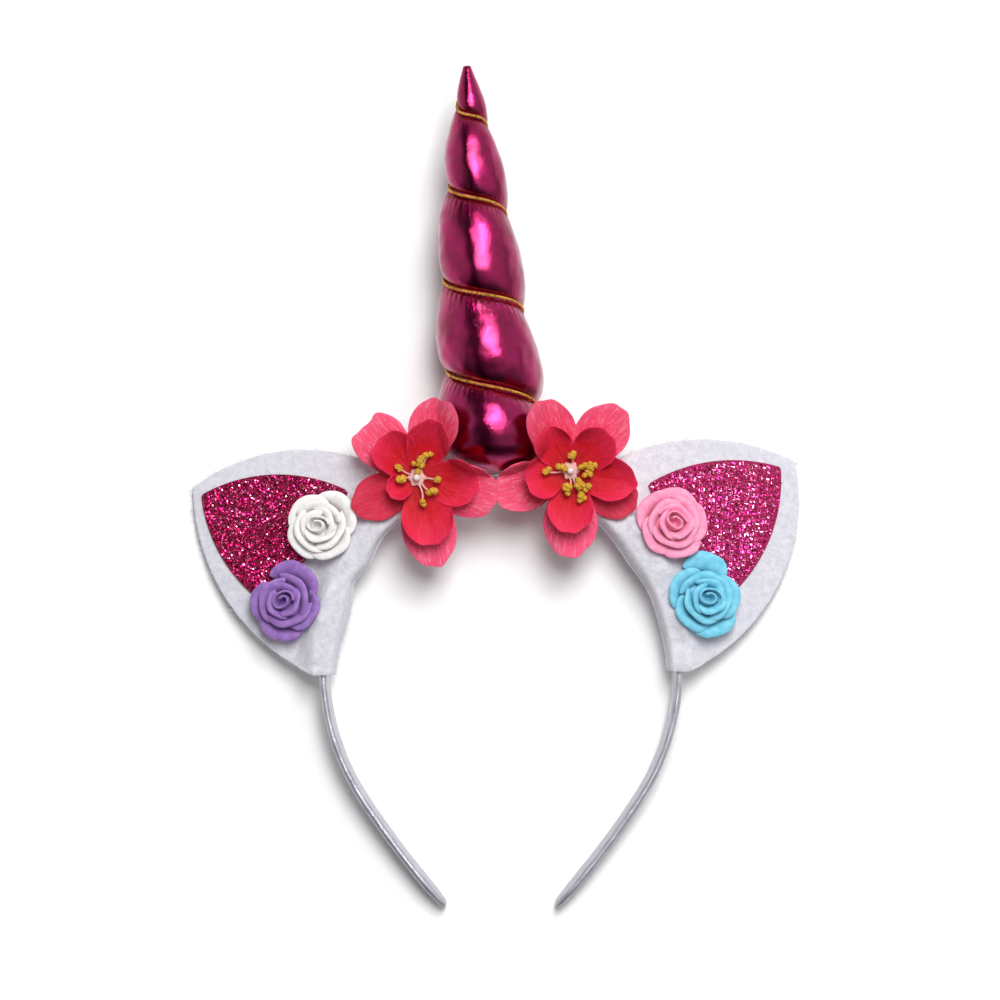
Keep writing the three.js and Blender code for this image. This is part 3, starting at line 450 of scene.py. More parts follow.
class Shading:
    """The nodes of one finish, round a principled shader."""

    def __init__(self, name: str) -> None:
        """Starts a material of that name with a bare shader.

        Args:
            name: name of the material.
        """
        self.material = bpy.data.materials.new(name)
        self.material.use_nodes = True
        self.tree = self.material.node_tree
        self.tree.nodes.clear()
        self.shader = self.add("ShaderNodeBsdfPrincipled")
        out = self.add("ShaderNodeOutputMaterial")
        self.tree.links.new(self.shader.outputs[0], out.inputs[0])
        self.place = self.add("ShaderNodeTexCoord").outputs["Object"]
        self.coords = self.add("ShaderNodeUVMap").outputs[0]

    def add(self, kind: str, inputs: dict | None = None, **settings: object) -> bpy.types.Node:
        """Adds a node.

        Args:
            kind: the type of the node.
            inputs: values or links for its sockets, by name or number.
            settings: its own properties.

        Returns:
            The node.
        """
        node = self.tree.nodes.new(kind)
        for key, value in settings.items():
            setattr(node, key, value)
        for key, value in (inputs or {}).items():
            if isinstance(value, bpy.types.NodeSocket):
                self.tree.links.new(value, node.inputs[key])
            else:
                node.inputs[key].default_value = value
        return node

    def set(self, **inputs: object) -> None:
        """Sets or links the shader's own sockets, with _ for a space in their names.

        Args:
            inputs: a value or a link for each socket.
        """
        for key, value in inputs.items():
            socket = self.shader.inputs[key.replace("_", " ")]
            if isinstance(value, bpy.types.NodeSocket):
                self.tree.links.new(value, socket)
            else:
                socket.default_value = value

    def noise(
        self,
        size: float,
        detail: float = 3.0,
        place: bpy.types.NodeSocket | None = None,
        distortion: float = 0.0,
    ) -> bpy.types.NodeSocket:
        """Noise with lumps of a size in millimetres, or in shares where a place is given.

        Args:
            size: size of a lump.
            detail: how many finer layers it has.
            place: where it is read, or none for the place on the object.
            distortion: how far the lumps are drawn out.

        Returns:
            A value from 0 to 1.
        """
        scale = 1 / (size * MM) if place is None else 1 / size
        inputs = {"Vector": place or self.place, "Scale": scale, "Detail": detail}
        inputs["Distortion"] = distortion
        return self.add("ShaderNodeTexNoise", inputs).outputs["Fac"]

    def stretched(self, along: float, across: float) -> bpy.types.NodeSocket:
        """Surface coordinates stretched by a factor each way."""
        inputs = {"Vector": self.coords, "Scale": (across, along, 1.0)}
        return self.add("ShaderNodeMapping", inputs).outputs[0]

    def tint(self) -> bpy.types.NodeSocket:
        """The number that each point of the mesh keeps."""
        return self.add("ShaderNodeAttribute", attribute_name="tint").outputs["Fac"]

    def ramp(
        self, value: bpy.types.NodeSocket, stops: list[tuple[float, tuple]]
    ) -> bpy.types.NodeSocket:
        """Colours read off a strip.

        Args:
            value: where on the strip, from 0 to 1.
            stops: places on it and their colours.

        Returns:
            The colour.
        """
        node = self.add("ShaderNodeValToRGB", {"Fac": value})
        strip = node.color_ramp.elements
        while len(strip) < len(stops):
            strip.new(0.5)
        for element, (at, colour) in zip(strip, stops):
            element.position = at
            element.color = (*colour, 1.0)
        return node.outputs["Color"]

    def span(
        self,
        value: bpy.types.NodeSocket,
        low: float,
        high: float,
        start: float = 0.0,
        stop: float = 1.0,
    ) -> bpy.types.NodeSocket:
        """A value turned to one between two numbers.

        Args:
            value: what is turned.
            low: what it gives at the start.
            high: what it gives at the stop.
            start: the value's own low end.
            stop: the value's own high end.

        Returns:
            The turned value.
        """
        inputs = {"Value": value, "From Min": start, "From Max": stop}
        return self.add("ShaderNodeMapRange", inputs | {"To Min": low, "To Max": high}).outputs[0]

    def math(self, operation: str, *values: object) -> bpy.types.NodeSocket:
        """Arithmetic on values."""
        return self.add("ShaderNodeMath", dict(enumerate(values)), operation=operation).outputs[0]

    def blend(self, share: object, first: object, second: object) -> bpy.types.NodeSocket:
        """Two colours mixed by a share."""
        inputs = {0: share, 6: first, 7: second}
        return self.add("ShaderNodeMix", inputs, data_type="RGBA").outputs[2]

    def bump(
        self, height: bpy.types.NodeSocket, depth: float, below: bpy.types.NodeSocket | None = None
    ) -> bpy.types.NodeSocket:
        """Relief of a depth in millimetres, over another relief where one is given.

        Args:
            height: the relief, from 0 to 1.
            depth: its depth.
            below: the relief under it, or none.

        Returns:
            The normal.
        """
        inputs = {"Height": height, "Distance": depth * MM, "Strength": 1.0}
        if below is not None:
            inputs["Normal"] = below
        return self.add("ShaderNodeBump", inputs).outputs[0]


Colour = tuple[float, float, float]


def tone(red: int, green: int, blue: int) -> Colour:
    """A colour given as shown on a screen, from 0 to 255."""
    shown = (red / 255, green / 255, blue / 255)
    return tuple(v / 12.92 if v < 0.0404 else ((v + 0.055) / 1.055) ** 2.4 for v in shown)


def rgba(colour: Colour) -> tuple[float, float, float, float]:
    """A colour with full cover."""
    return (*colour, 1.0)


@dataclass(frozen=True)
class FoilCloth:
    """Cloth with a metal foil face, gathered in fine pleats along its seams, with painted red
    glints next to its thread.
    """

    deep: Colour = (0.22, 0.001, 0.048)
    bright: Colour = (0.38, 0.003, 0.1)
    painted_glint: Colour = (0.8, 0.008, 0.03)
    roughness: float = 0.15
    grain: float = 0.5

    def material(self) -> bpy.types.Material:
        """The finish of the horn's skin.

        Returns:
            The material.
        """
        s = Shading("foil_cloth")
        cloud = s.ramp(s.noise(7, 2), [(0.3, self.deep), (0.7, self.bright)])
        near = s.tint()
        # Painted glints: specks of a brighter red base colour, strongest next to the thread, stand
        # in for sparkles of light on the gathers.
        specks = s.ramp(s.noise(0.9, 2), [(0.52, (0.0,) * 3), (0.62, (1.0,) * 3)])
        marked = s.math("MULTIPLY", s.math("MULTIPLY", specks, near), 0.8)
        s.set(Base_Color=s.blend(marked, cloud, rgba(self.painted_glint)), Metallic=1.0)
        s.set(Roughness=s.span(s.noise(1.1, 4), self.roughness * 0.7, self.roughness * 1.6))
        s.set(Coat_Weight=0.55, Coat_Roughness=0.1, Coat_IOR=1.5)
        grain = s.bump(s.noise(self.grain, 2), 0.1)
        pleats = s.math("MULTIPLY", s.noise(1, 2, s.stretched(9, 300)), near)
        s.set(Normal=s.bump(pleats, 0.55, grain), Coat_Normal=grain)
        return s.material


@dataclass(frozen=True)
class GoldThread:
    """Twisted metal thread."""

    colour: Colour = (1.0, 0.62, 0.13)
    shade: Colour = (0.5, 0.2, 0.03)

    def material(self) -> bpy.types.Material:
        """The finish of the thread.

        Returns:
            The material.
        """
        s = Shading("gold_thread")
        s.set(Base_Color=s.ramp(s.noise(0.9, 2), [(0.38, self.shade), (0.55, self.colour)]))
        s.set(Metallic=0.85, Roughness=0.3, Normal=s.bump(s.noise(0.15, 2), 0.03))
        return s.material


@dataclass(frozen=True)
class SatinRibbon:
    """Satin ribbon, with its fine threads along the hoop."""

    pale: Colour = tone(198, 196, 204)
    shade: Colour = tone(160, 158, 170)

    def material(self) -> bpy.types.Material:
        """The finish of the hoop's cover.

        Returns:
            The material.
        """
        s = Shading("satin_ribbon")
        streaks = s.noise(1, 3, s.stretched(60, 34))
        s.set(Base_Color=s.ramp(streaks, [(0.3, self.shade), (0.7, self.pale)]))
        s.set(Roughness=s.span(s.noise(3, 2), 0.24, 0.36), Metallic=0.6, Anisotropic=0.5)
        threads = s.noise(1, 1, s.stretched(90, 220))
        s.set(Normal=s.bump(threads, 0.04, s.bump(s.noise(2.5, 2), 0.12)))
        return s.material


@dataclass(frozen=True)
class Felt:
    """Pressed felt with soft mottling and short loose fibres."""

    pale: Colour = tone(224, 222, 229)
    shade: Colour = tone(196, 195, 206)

    def material(self, name: str = "felt") -> bpy.types.Material:
        """The finish of the ears.

        Args:
            name: name of the material.

        Returns:
            The material.
        """
        s = Shading(name)
        cloud = s.noise(2.2, 6, distortion=0.6)
        fibres = s.noise(0.45, 4, distortion=1.5)
        mixed = s.math("MULTIPLY_ADD", fibres, 0.5, s.math("MULTIPLY", cloud, 0.55))
        s.set(Base_Color=s.ramp(mixed, [(0.36, self.shade), (0.66, self.pale)]))
        s.set(Roughness=0.95, Sheen_Weight=0.25, Sheen_Roughness=0.6, Specular_IOR_Level=0.2)
        s.set(Normal=s.bump(fibres, 0.14, s.bump(cloud, 0.3)))
        return s.material


@dataclass(frozen=True)
class GlitterGround:
    """Dark coated cloth under the flakes."""

    name: str
    colour: Colour
    light: Colour

    def material(self) -> bpy.types.Material:
        """The finish of the panel under its flakes.

        Returns:
            The material.
        """
        s = Shading(self.name)
        grain = s.noise(0.5, 3)
        s.set(Base_Color=s.ramp(grain, [(0.4, self.colour), (0.65, self.light)]))
        s.set(Specular_IOR_Level=0.25, Roughness=0.55, Normal=s.bump(grain, 0.2))
        return s.material


@dataclass(frozen=True)
class GlitterFlake:
    """Small foil flakes."""

    name: str
    deep: Colour
    bright: Colour
    pale: Colour = (1.0, 0.42, 0.62)

    def material(self) -> bpy.types.Material:
        """The finish of the flakes, whose tint picks their colour.

        Returns:
            The material.
        """
        s = Shading(self.name)
        s.set(Base_Color=s.ramp(s.tint(), [(0.0, self.deep), (0.6, self.bright), (1.0, self.pale)]))
        s.set(Metallic=1.0, Roughness=s.span(s.noise(0.6, 1), 0.12, 0.3))
        return s.material


@dataclass(frozen=True)
class Foam:
    """Thin soft foam sheet."""

    name: str
    colour: Colour
    shade: Colour

    def material(self) -> bpy.types.Material:
        """The finish of one rose.

        Returns:
            The material.
        """
        s = Shading(self.name)
        cloud = s.noise(2.4, 4)
        body = s.ramp(cloud, [(0.3, self.shade), (0.62, self.colour)])
        s.set(Base_Color=body, Roughness=0.62, Sheen_Weight=0.12, Specular_IOR_Level=0.35)
        s.set(Subsurface_Weight=0.12, Subsurface_Scale=1.0)
        s.set(Subsurface_Radius=(1.2 * MM, 0.8 * MM, 0.8 * MM))
        cells = s.noise(0.22, 2)
        s.set(Normal=s.bump(cells, 0.025, s.bump(cloud, 0.1)))
        return s.material


@dataclass(frozen=True)
class PetalCloth:
    """Starched petal cloth whose colour fades from the heart of a petal to its end, partly the
    cloth's own fade and partly painted shade in the cupped heart and painted light on the paler
    rims; some petals are darkened whole.
    """

    name: str
    heart: Colour
    body: Colour
    rim: Colour
    streak: Colour
    streaks: float

    def material(self) -> bpy.types.Material:
        """The finish of one layer of petals.

        Returns:
            The material.
        """
        s = Shading(self.name)
        # Painted light and shade, partly the cloth's own fade: the heart at the root is darker
        # where shade falls in the cup, and the sides and end are paler where light catches the
        # rims.
        parts = s.add("ShaderNodeSeparateXYZ", {0: s.coords}).outputs
        aside = s.math("ABSOLUTE", s.math("SUBTRACT", parts[0], 0.5))
        rim_light_and_tint = s.math("MULTIPLY", s.math("POWER", s.math("MULTIPLY", aside, 2.0), 5.0), 0.4)
        drift = s.math("ADD", s.math("ADD", parts[1], rim_light_and_tint), s.span(s.noise(5, 3), -0.14, 0.14))
        ground = s.ramp(drift, [(0.05, self.heart), (0.55, self.body), (0.98, self.rim)])
        # Painted shade, and a darker tone: the tint draws whole petals towards the heart colour and
        # fades their streaks; on the left flower's low back petal it paints the shade that petal
        # lies in.
        painted_shade_and_darker_tone = s.tint()
        ground = s.blend(s.math("MULTIPLY", painted_shade_and_darker_tone, 0.85), ground, rgba(self.heart))
        fine = s.noise(1, 3, s.stretched(5, 46), distortion=0.4)
        crossing = s.noise(0.7, 4, distortion=2.2)
        lines = s.math("MULTIPLY_ADD", crossing, 0.4, s.math("MULTIPLY", fine, 0.62))
        share = s.span(lines, 0.0, self.streaks, 0.53, 0.68)
        plain = s.math("MULTIPLY", share, s.math("SUBTRACT", 1.0, s.math("MULTIPLY", painted_shade_and_darker_tone, 0.85)))
        s.set(Base_Color=s.blend(plain, ground, rgba(self.streak)), Roughness=0.7)
        s.set(Specular_IOR_Level=0.3)
        s.set(Normal=s.bump(lines, 0.16, s.bump(s.noise(3, 2), 0.25)))
        return s.material


@dataclass(frozen=True)
class SugarGrain:
    """Stamens: waxed thread with ends dipped in coloured grains."""

    grain: Colour = tone(230, 184, 56)
    shade: Colour = tone(178, 126, 26)
    wax: Colour = tone(226, 178, 170)

    def material(self) -> bpy.types.Material:
        """The finish of the stamens; a tint over one half marks the grains.

        Returns:
            The material.
        """
        s = Shading("stamen_sugar")
        crumbs = s.noise(0.42, 3)
        grain = s.ramp(crumbs, [(0.35, self.shade), (0.6, self.grain)])
        marked = s.math("GREATER_THAN", s.tint(), 0.5)
        s.set(Base_Color=s.blend(marked, rgba(self.wax), grain), Roughness=0.55)
        s.set(Subsurface_Weight=0.1, Subsurface_Scale=1.0)
        s.set(Subsurface_Radius=(0.6 * MM, 0.4 * MM, 0.2 * MM))
        s.set(Normal=s.bump(crumbs, 0.3))
        return s.material


@dataclass(frozen=True)
class PearlGloss:
    """Glossy bead."""

    colour: Colour = tone(232, 226, 222)
    shade: Colour = tone(214, 206, 206)

    def material(self) -> bpy.types.Material:
        """The finish of the bead.

        Returns:
            The material.
        """
        s = Shading("pearl")
        s.set(Base_Color=s.ramp(s.noise(1.2, 2), [(0.3, self.shade), (0.7, self.colour)]))
        s.set(Roughness=0.12, Coat_Weight=0.8, Coat_Roughness=0.05)
        return s.material


def dress(piece: bpy.types.Object, slot: str, *nodes: str) -> bpy.types.Object:
    """Lets a piece stand in for nodes of the model.

    Args:
        piece: the piece, in place.
        slot: not used.
        nodes: the nodes that it takes the place of.

    Returns:
        The same piece.
    """
    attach(piece, "root")
    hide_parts(*nodes)
    mesh = piece.data
    log.info("%s: %d points, %d faces", piece.name, len(mesh.vertices), len(mesh.polygons))
    return piece


# Hoop and its ribbon


@dataclass(frozen=True)
class Hoop:
    """The line halfway through the hoop, and the room that its cover takes."""

    half_width: float = 63.5
    rise: float = 70.0
    bend: tuple[float, float] = (85.0, 33.0)
    end: tuple[float, float] = (320.0, 8.8)
    thickness: float = 2.4
    depth: float = 9.5
    splay: float = 12.0
    sleeve_half_width: float = 3.761
    sleeve_half_height: float = 6.65

    def point(self, degrees: float) -> np.ndarray:
        """A point of the crown's half oval."""
        return polar(degrees) * np.array([self.half_width, self.rise])

    def normal(self, degrees: float) -> np.ndarray:
        """The way out of the hoop at that point."""
        return unit(polar(degrees) / np.array([self.half_width, self.rise]))

    def out_from(self, places: np.ndarray) -> np.ndarray:
        """Distance of places outside the half oval's line, less than 0 within it."""
        scaled = np.linalg.norm(places[..., :2] / np.array([self.half_width, self.rise]), axis=-1)
        return np.linalg.norm(places[..., :2], axis=-1) * (1 - 1 / np.maximum(scaled, 1e-6))

    def path(self, step: float = 1.6) -> tuple[np.ndarray, np.ndarray, np.ndarray]:
        """The whole line, from the end of the right leg over the crown to the left one.

        Args:
            step: about how far its points lie apart.

        Returns:
            The points, the ways out, and the distance of each point from its nearer end.
        """
        at, heading = np.array([self.half_width, 0.0]), 0.0
        leg, out = [], []
        for radius, angle in (self.bend, self.end):
            steps = max(2, round(radius * math.radians(angle) / step))
            turn = math.radians(angle) / steps
            for _ in range(steps):
                heading += turn / 2
                chord = 2 * radius * math.sin(turn / 2)
                at = at - chord * np.array([math.sin(heading), math.cos(heading)])
                heading += turn / 2
                leg.append(at)
                out.append(np.array([math.cos(heading), -math.sin(heading)]))
        angles = np.linspace(0, 180, round(210 / step))
        flip = np.array([-1, 1])
        points = leg[::-1] + [self.point(a) for a in angles] + [p * flip for p in leg]
        normals = out[::-1] + [self.normal(a) for a in angles] + [n * flip for n in out]
        points = np.array(points)
        run = np.concatenate([[0], np.cumsum(np.linalg.norm(np.diff(points, axis=0), axis=1))])
        return points, np.array(normals), np.minimum(run, run[-1] - run)


HOOP = Hoop()


@dataclass
class Band:
    """Satin ribbon wrapped lengthwise round the hoop, with its edge laid inside the front rim."""

    wall: float = 0.35
    lap: float = 2.4
    pinch_length: float = 9.0
    pinch_share: float = 0.42
    cut_width: float = 0.024
    columns: int = 40

    def section(self) -> tuple[np.ndarray, np.ndarray, np.ndarray]:
        """The ribbon's way round the hoop.

        Returns:
            Its distances out and forward, and its share of the lap, for each column.
        """
        thick = HOOP.thickness / 2 - self.wall / 2
        flat = HOOP.depth / 2 - HOOP.thickness / 2
        cap = math.pi * thick
        around = 4 * flat + 2 * cap
        run = np.linspace(0, around + self.lap, self.columns)
        lapped = smoothstep(run, around - self.lap, around)
        out, forward = [], []
        for distance in run % around:
            if distance < 2 * flat:
                out.append(-thick)
                forward.append(flat - distance)
            elif distance < 2 * flat + cap:
                turn = (distance - 2 * flat) / thick
                out.append(-thick * math.cos(turn))
                forward.append(-flat - thick * math.sin(turn))
            elif distance < 4 * flat + cap:
                out.append(thick)
                forward.append(distance - cap - 3 * flat)
            else:
                turn = (distance - 4 * flat - cap) / thick
                out.append(thick * math.cos(turn))
                forward.append(flat + thick * math.sin(turn))
        return np.array(out), np.array(forward), lapped

    def build(self) -> None:
        """Makes and dresses the ribbon."""
        points, normals, from_end = HOOP.path()
        out, forward, lapped = self.section()
        near = np.clip(from_end / self.pinch_length, 0, 1)[:, None]
        pinch = self.pinch_share + (1 - self.pinch_share) * np.sqrt(near)
        closing = np.clip(0.3 + from_end[:, None] / 1.2, 0, 1)
        around = np.linspace(0, 1, self.columns)[None, :]
        crease = 0.3 * (1 - near) ** 2 * np.sin(3 * FULL_TURN * around)
        lift = 1.05 * self.wall * lapped[None, :]
        out = (out[None, :] - lift * (1 - 0.2 * near)) * pinch * closing + crease * closing
        forward = forward[None, :] * pinch
        splay = math.radians(HOOP.splay)
        away = out * math.cos(splay) + forward * math.sin(splay)
        ahead = forward * math.cos(splay) - out * math.sin(splay)
        flat = points[:, None, :] + normals[:, None, :] * away[..., None]
        middle = np.concatenate([flat, ahead[..., None]], -1)
        middle += 0.1 * lumps(middle, 5.0, 3.0)[..., None] * grid_normals(middle)
        work = Patchwork()
        add_slab(work, middle, self.wall, round_rim=False)
        ribbon = dress(work.build("band_satin", SatinRibbon().material()), "satin_ribbon", "band")


# Horn


@dataclass
class Horn:
    """Stuffed foil cloth horn, drawn in by a gold thread wound round it."""

    length: float = 145.6
    radius: float = 20.5
    lean: float = 4.4
    bow: float = -1.0
    foot: tuple[float, float] = (-1.0, 71.5)
    saddle: float = 1.8
    foot_rounding: float = 9.0
    groove_half_share: float = 0.035
    lobe_fullness: float = 0.52
    lobe_sag: float = 0.9
    pleats: int = 40
    pleat_depth: float = 0.42
    fill: float = 0.85
    plies: int = 2
    ply: float = 0.29
    pitch: float = 2.3
    thread_turns: tuple[float, float] = (0.62, 4.42)
    thread_stand: float = 0.9
    band_room: float = 0.45
    rows: int = 400
    columns: int = 216
    crown: tuple = (
        (0, 0.93), (0.125, 1), (0.25, 0.94), (0.375, 0.84), (0.5, 0.76),
        (0.625, 0.665), (0.75, 0.535), (0.875, 0.36), (1, 0.075),
    )
    groove: tuple = (
        (0, 0.75), (0.125, 0.73), (0.25, 0.685), (0.375, 0.65), (0.5, 0.59),
        (0.625, 0.485), (0.75, 0.35), (0.875, 0.21), (1, 0.052),
    )
    tilts: tuple = (
        (0, 2), (0.125, 2), (0.25, 4), (0.375, 8), (0.5, 10),
        (0.625, 13), (0.75, 20), (0.875, 35), (1, 35),
    )
    crossings: tuple = (
        (-2, -0.48), (-1, -0.25), (0, -0.02), (1, 0.205), (2, 0.433),
        (3, 0.671), (4, 0.877), (5, 1.05), (6, 1.22), (7, 1.39),
    )

    def profile(self, table: tuple, height: np.ndarray) -> np.ndarray:
        """Radius of the lobes or the grooves at a height."""
        return self.radius * smooth_value(table, np.asarray(height) / self.length)

    def rounding(self, height: np.ndarray) -> np.ndarray:
        """How far the foot is drawn in at a height.

        Args:
            height: heights along the horn.

        Returns:
            The share of the radius that is left.
        """
        start = -self.saddle - 1
        share = np.clip((height - start) / (self.foot_rounding - start), 0, 1)
        return np.maximum(0.3, np.sqrt(1 - (1 - share) ** 2))

    def turned(self, turns: np.ndarray, angle: np.ndarray) -> np.ndarray:
        """Height of the screw line at a number of turns and an angle round the horn.

        Args:
            turns: turns of the screw, counted from the foot.
            angle: angle round the horn, from its front.

        Returns:
            The height.
        """
        straight = self.length * smooth_value(self.crossings, turns - angle / FULL_TURN)
        tilt = np.tan(np.radians(smooth_value(self.tilts, straight / self.length)))
        return straight + tilt * self.profile(self.groove, straight) * np.sin(angle)

    def bowed(self, height: np.ndarray) -> np.ndarray:
        """How far the middle line of the horn bows aside at a height."""
        return self.bow * np.sin(math.pi * np.clip(height / self.length, 0, 1))

    def to_hoop(self, points: np.ndarray) -> np.ndarray:
        """Points of the horn's own frame, +Y along it, in the hoop's plane.

        Args:
            points: the points, with the horn straight.

        Returns:
            The points, bowed, leant and moved.
        """
        lean = math.radians(self.lean)
        x, y, z = np.moveaxis(points, -1, 0)
        x = x + self.bowed(y)
        cos, sin = math.cos(lean), math.sin(lean)
        return np.stack([x * cos - y * sin, x * sin + y * cos, z], -1) + np.array([*self.foot, 0.0])

    def front(self, places: np.ndarray) -> np.ndarray:
        """How far the horn stands to the front over places of the hoop's plane.

        Args:
            places: the places, two numbers each.

        Returns:
            The heights, 0 beside the horn.
        """
        lean = math.radians(-self.lean)
        x, y = np.moveaxis(places - np.array(self.foot), -1, 0)
        aside = x * math.cos(lean) - y * math.sin(lean)
        height = x * math.sin(lean) + y * math.cos(lean)
        radius = self.profile(self.crown, np.clip(height, 0, self.length)) * self.rounding(height)
        inside = (height > -self.saddle) & (height < self.length)
        aside = aside - self.bowed(height)
        return np.where(inside, np.sqrt(np.maximum(radius**2 - aside**2, 0)), 0)

    def lobes(self, heights: np.ndarray, angles: np.ndarray) -> tuple[np.ndarray, np.ndarray]:
        """Radius of the skin over its heights and angles.

        Args:
            heights: heights of the rows.
            angles: angles of the columns.

        Returns:
            The radius, and how near to the thread each point lies, from 0 to 1.
        """
        turns = np.linspace(-2.5, 7.4, 2400)
        screw = np.empty((len(heights), len(angles)))
        for column, angle in enumerate(angles):
            line = np.maximum.accumulate(self.turned(turns + angle / FULL_TURN, angle))
            screw[:, column] = np.interp(heights, line, turns) + angle / FULL_TURN
        share = screw % 1
        across = np.clip((share - self.groove_half_share) / (1 - 2 * self.groove_half_share), 0, 1)
        full = np.sin(math.pi * across**self.lobe_sag) ** self.lobe_fullness
        high = heights[:, None]
        low, top = self.profile(self.groove, high), self.profile(self.crown, high)
        radius = (low + (top - low) * full) * self.rounding(high)
        lobe = self.length * (smooth_value(self.crossings, 1) - smooth_value(self.crossings, 0))
        above, below = share * lobe, (1 - share) * lobe
        near = 0.4 * np.exp(-above / 1.2) + np.exp(-below / 2.0)
        count = np.floor(screw)
        angle = angles[None, :]
        phase = 1.9 * np.sin(3 * angle + 2 * count) + 1.3 * np.sin(5 * angle + 4 * count)
        turned = self.pleats * angle
        wave = np.sin(turned + phase) + 0.6 * np.sin(1.75 * turned - phase)
        lively = smoothstep(high, 1, 14) * np.clip(top / 12, 0.25, 1)
        radius = radius + self.pleat_depth * near * wave * lively
        # Nearness to the thread; the foil uses it for its pleat relief and its painted red glints.
        marked = 0.6 * np.exp(-above / 1.8) + np.exp(-below / 2.6)
        return radius, np.clip(marked, 0, 1)

    def clear_of_band(self, points: np.ndarray) -> np.ndarray:
        """The foot lifted over the band where it would meet it.

        Args:
            points: points of the skin.

        Returns:
            The points, clear of the band.
        """
        splayed = HOOP.depth / 2 * math.sin(math.radians(HOOP.splay))
        need = HOOP.thickness / 2 + splayed + self.band_room
        over = 1 - smoothstep(np.abs(points[..., 2]), HOOP.depth / 2 + 0.8, HOOP.depth / 2 + 1.6)
        lift = np.maximum(0, need - HOOP.out_from(points)) * over
        lift = np.where(points[..., 1] > 0, lift, 0)
        return points + np.stack([0 * lift, lift, 0 * lift], -1)

    def skin(self) -> None:
        """Makes and dresses the foil cloth."""
        heights = np.linspace(-self.saddle, self.length, self.rows)
        angles = np.linspace(0, FULL_TURN, self.columns, endpoint=False)
        radius, near = self.lobes(heights, angles)
        base = np.broadcast_to(heights[:, None], radius.shape)
        points = np.stack([radius * np.sin(angles), base, radius * np.cos(angles)], -1)
        uneven = 0.5 * lumps(points, 12.0, 1.0) + 0.2 * lumps(points, 4.5, 5.0)
        radius = radius + uneven * smoothstep(base, 1, 16) * np.clip(radius / 9, 0.1, 1)
        cleft = 0.9 * np.exp(-((radius * np.sin(angles) / 0.35) ** 2))
        cleft = cleft * smoothstep(base, self.length - 0.6, self.length)
        points = np.stack([radius * np.sin(angles), base - cleft, radius * np.cos(angles)], -1)
        foot = [points[0] * np.array([s, 1, s]) for s in np.linspace(0.05, 0.93, 10)]
        tip = [
            points[-1] * np.array([s, 1, s]) + np.array([0, 0.4 * (1 - s), 0]) for s in (0.7, 0.25)
        ]
        grid = self.clear_of_band(self.to_hoop(np.stack([*foot, *points, *tip])))
        # The tint keeps the nearness to the thread, which places the painted red glints and the
        # pleat relief of the foil.
        shade = np.pad(near, ((len(foot), len(tip)), (0, 0)))
        rows, columns = grid.shape[:2]
        faces = grid_faces(rows, columns, wrap=True).tolist() + end_faces(rows, columns)
        inward = [face[::-1] for face in faces]
        work = Patchwork()
        coords = grid_coords(rows, columns).reshape(-1, 2)
        work.add(grid.reshape(-1, 3), inward, coords, shade.ravel())
        horn = dress(work.build("horn_foil", FoilCloth().material(), 80), "foil_cloth", "horn")

    def thread(self) -> None:
        """Makes and dresses the two-ply thread in the grooves."""
        turns = np.linspace(*self.thread_turns, 1500)
        angles = -turns * FULL_TURN
        height = self.turned(0 * turns, angles)
        radius = self.profile(self.groove, height) * self.rounding(height) + self.thread_stand
        line = np.stack([radius * np.sin(angles), height, radius * np.cos(angles)], -1)
        line = self.to_hoop(line)
        run = np.concatenate([[0], np.cumsum(np.linalg.norm(np.diff(line, axis=0), axis=1))])
        ahead = unit(np.gradient(line, axis=0))
        first = unit(np.cross(ahead, np.array([0.0, 1.0, 0.0])))
        second = np.cross(ahead, first)
        work = Patchwork()
        for strand in range(self.plies):
            twist = (FULL_TURN * run / self.pitch + strand * FULL_TURN / self.plies)[:, None]
            strand_line = line + self.ply * (np.cos(twist) * first + np.sin(twist) * second)
            add_tube(work, strand_line, 1.05 * self.ply, 7)
        dress(work.build("horn_thread_gold", GoldThread().material()), "gold_thread", "horn_thread")

    def build(self) -> None:
        """Makes the skin and its thread."""
        self.skin()
        self.thread()


# Ears


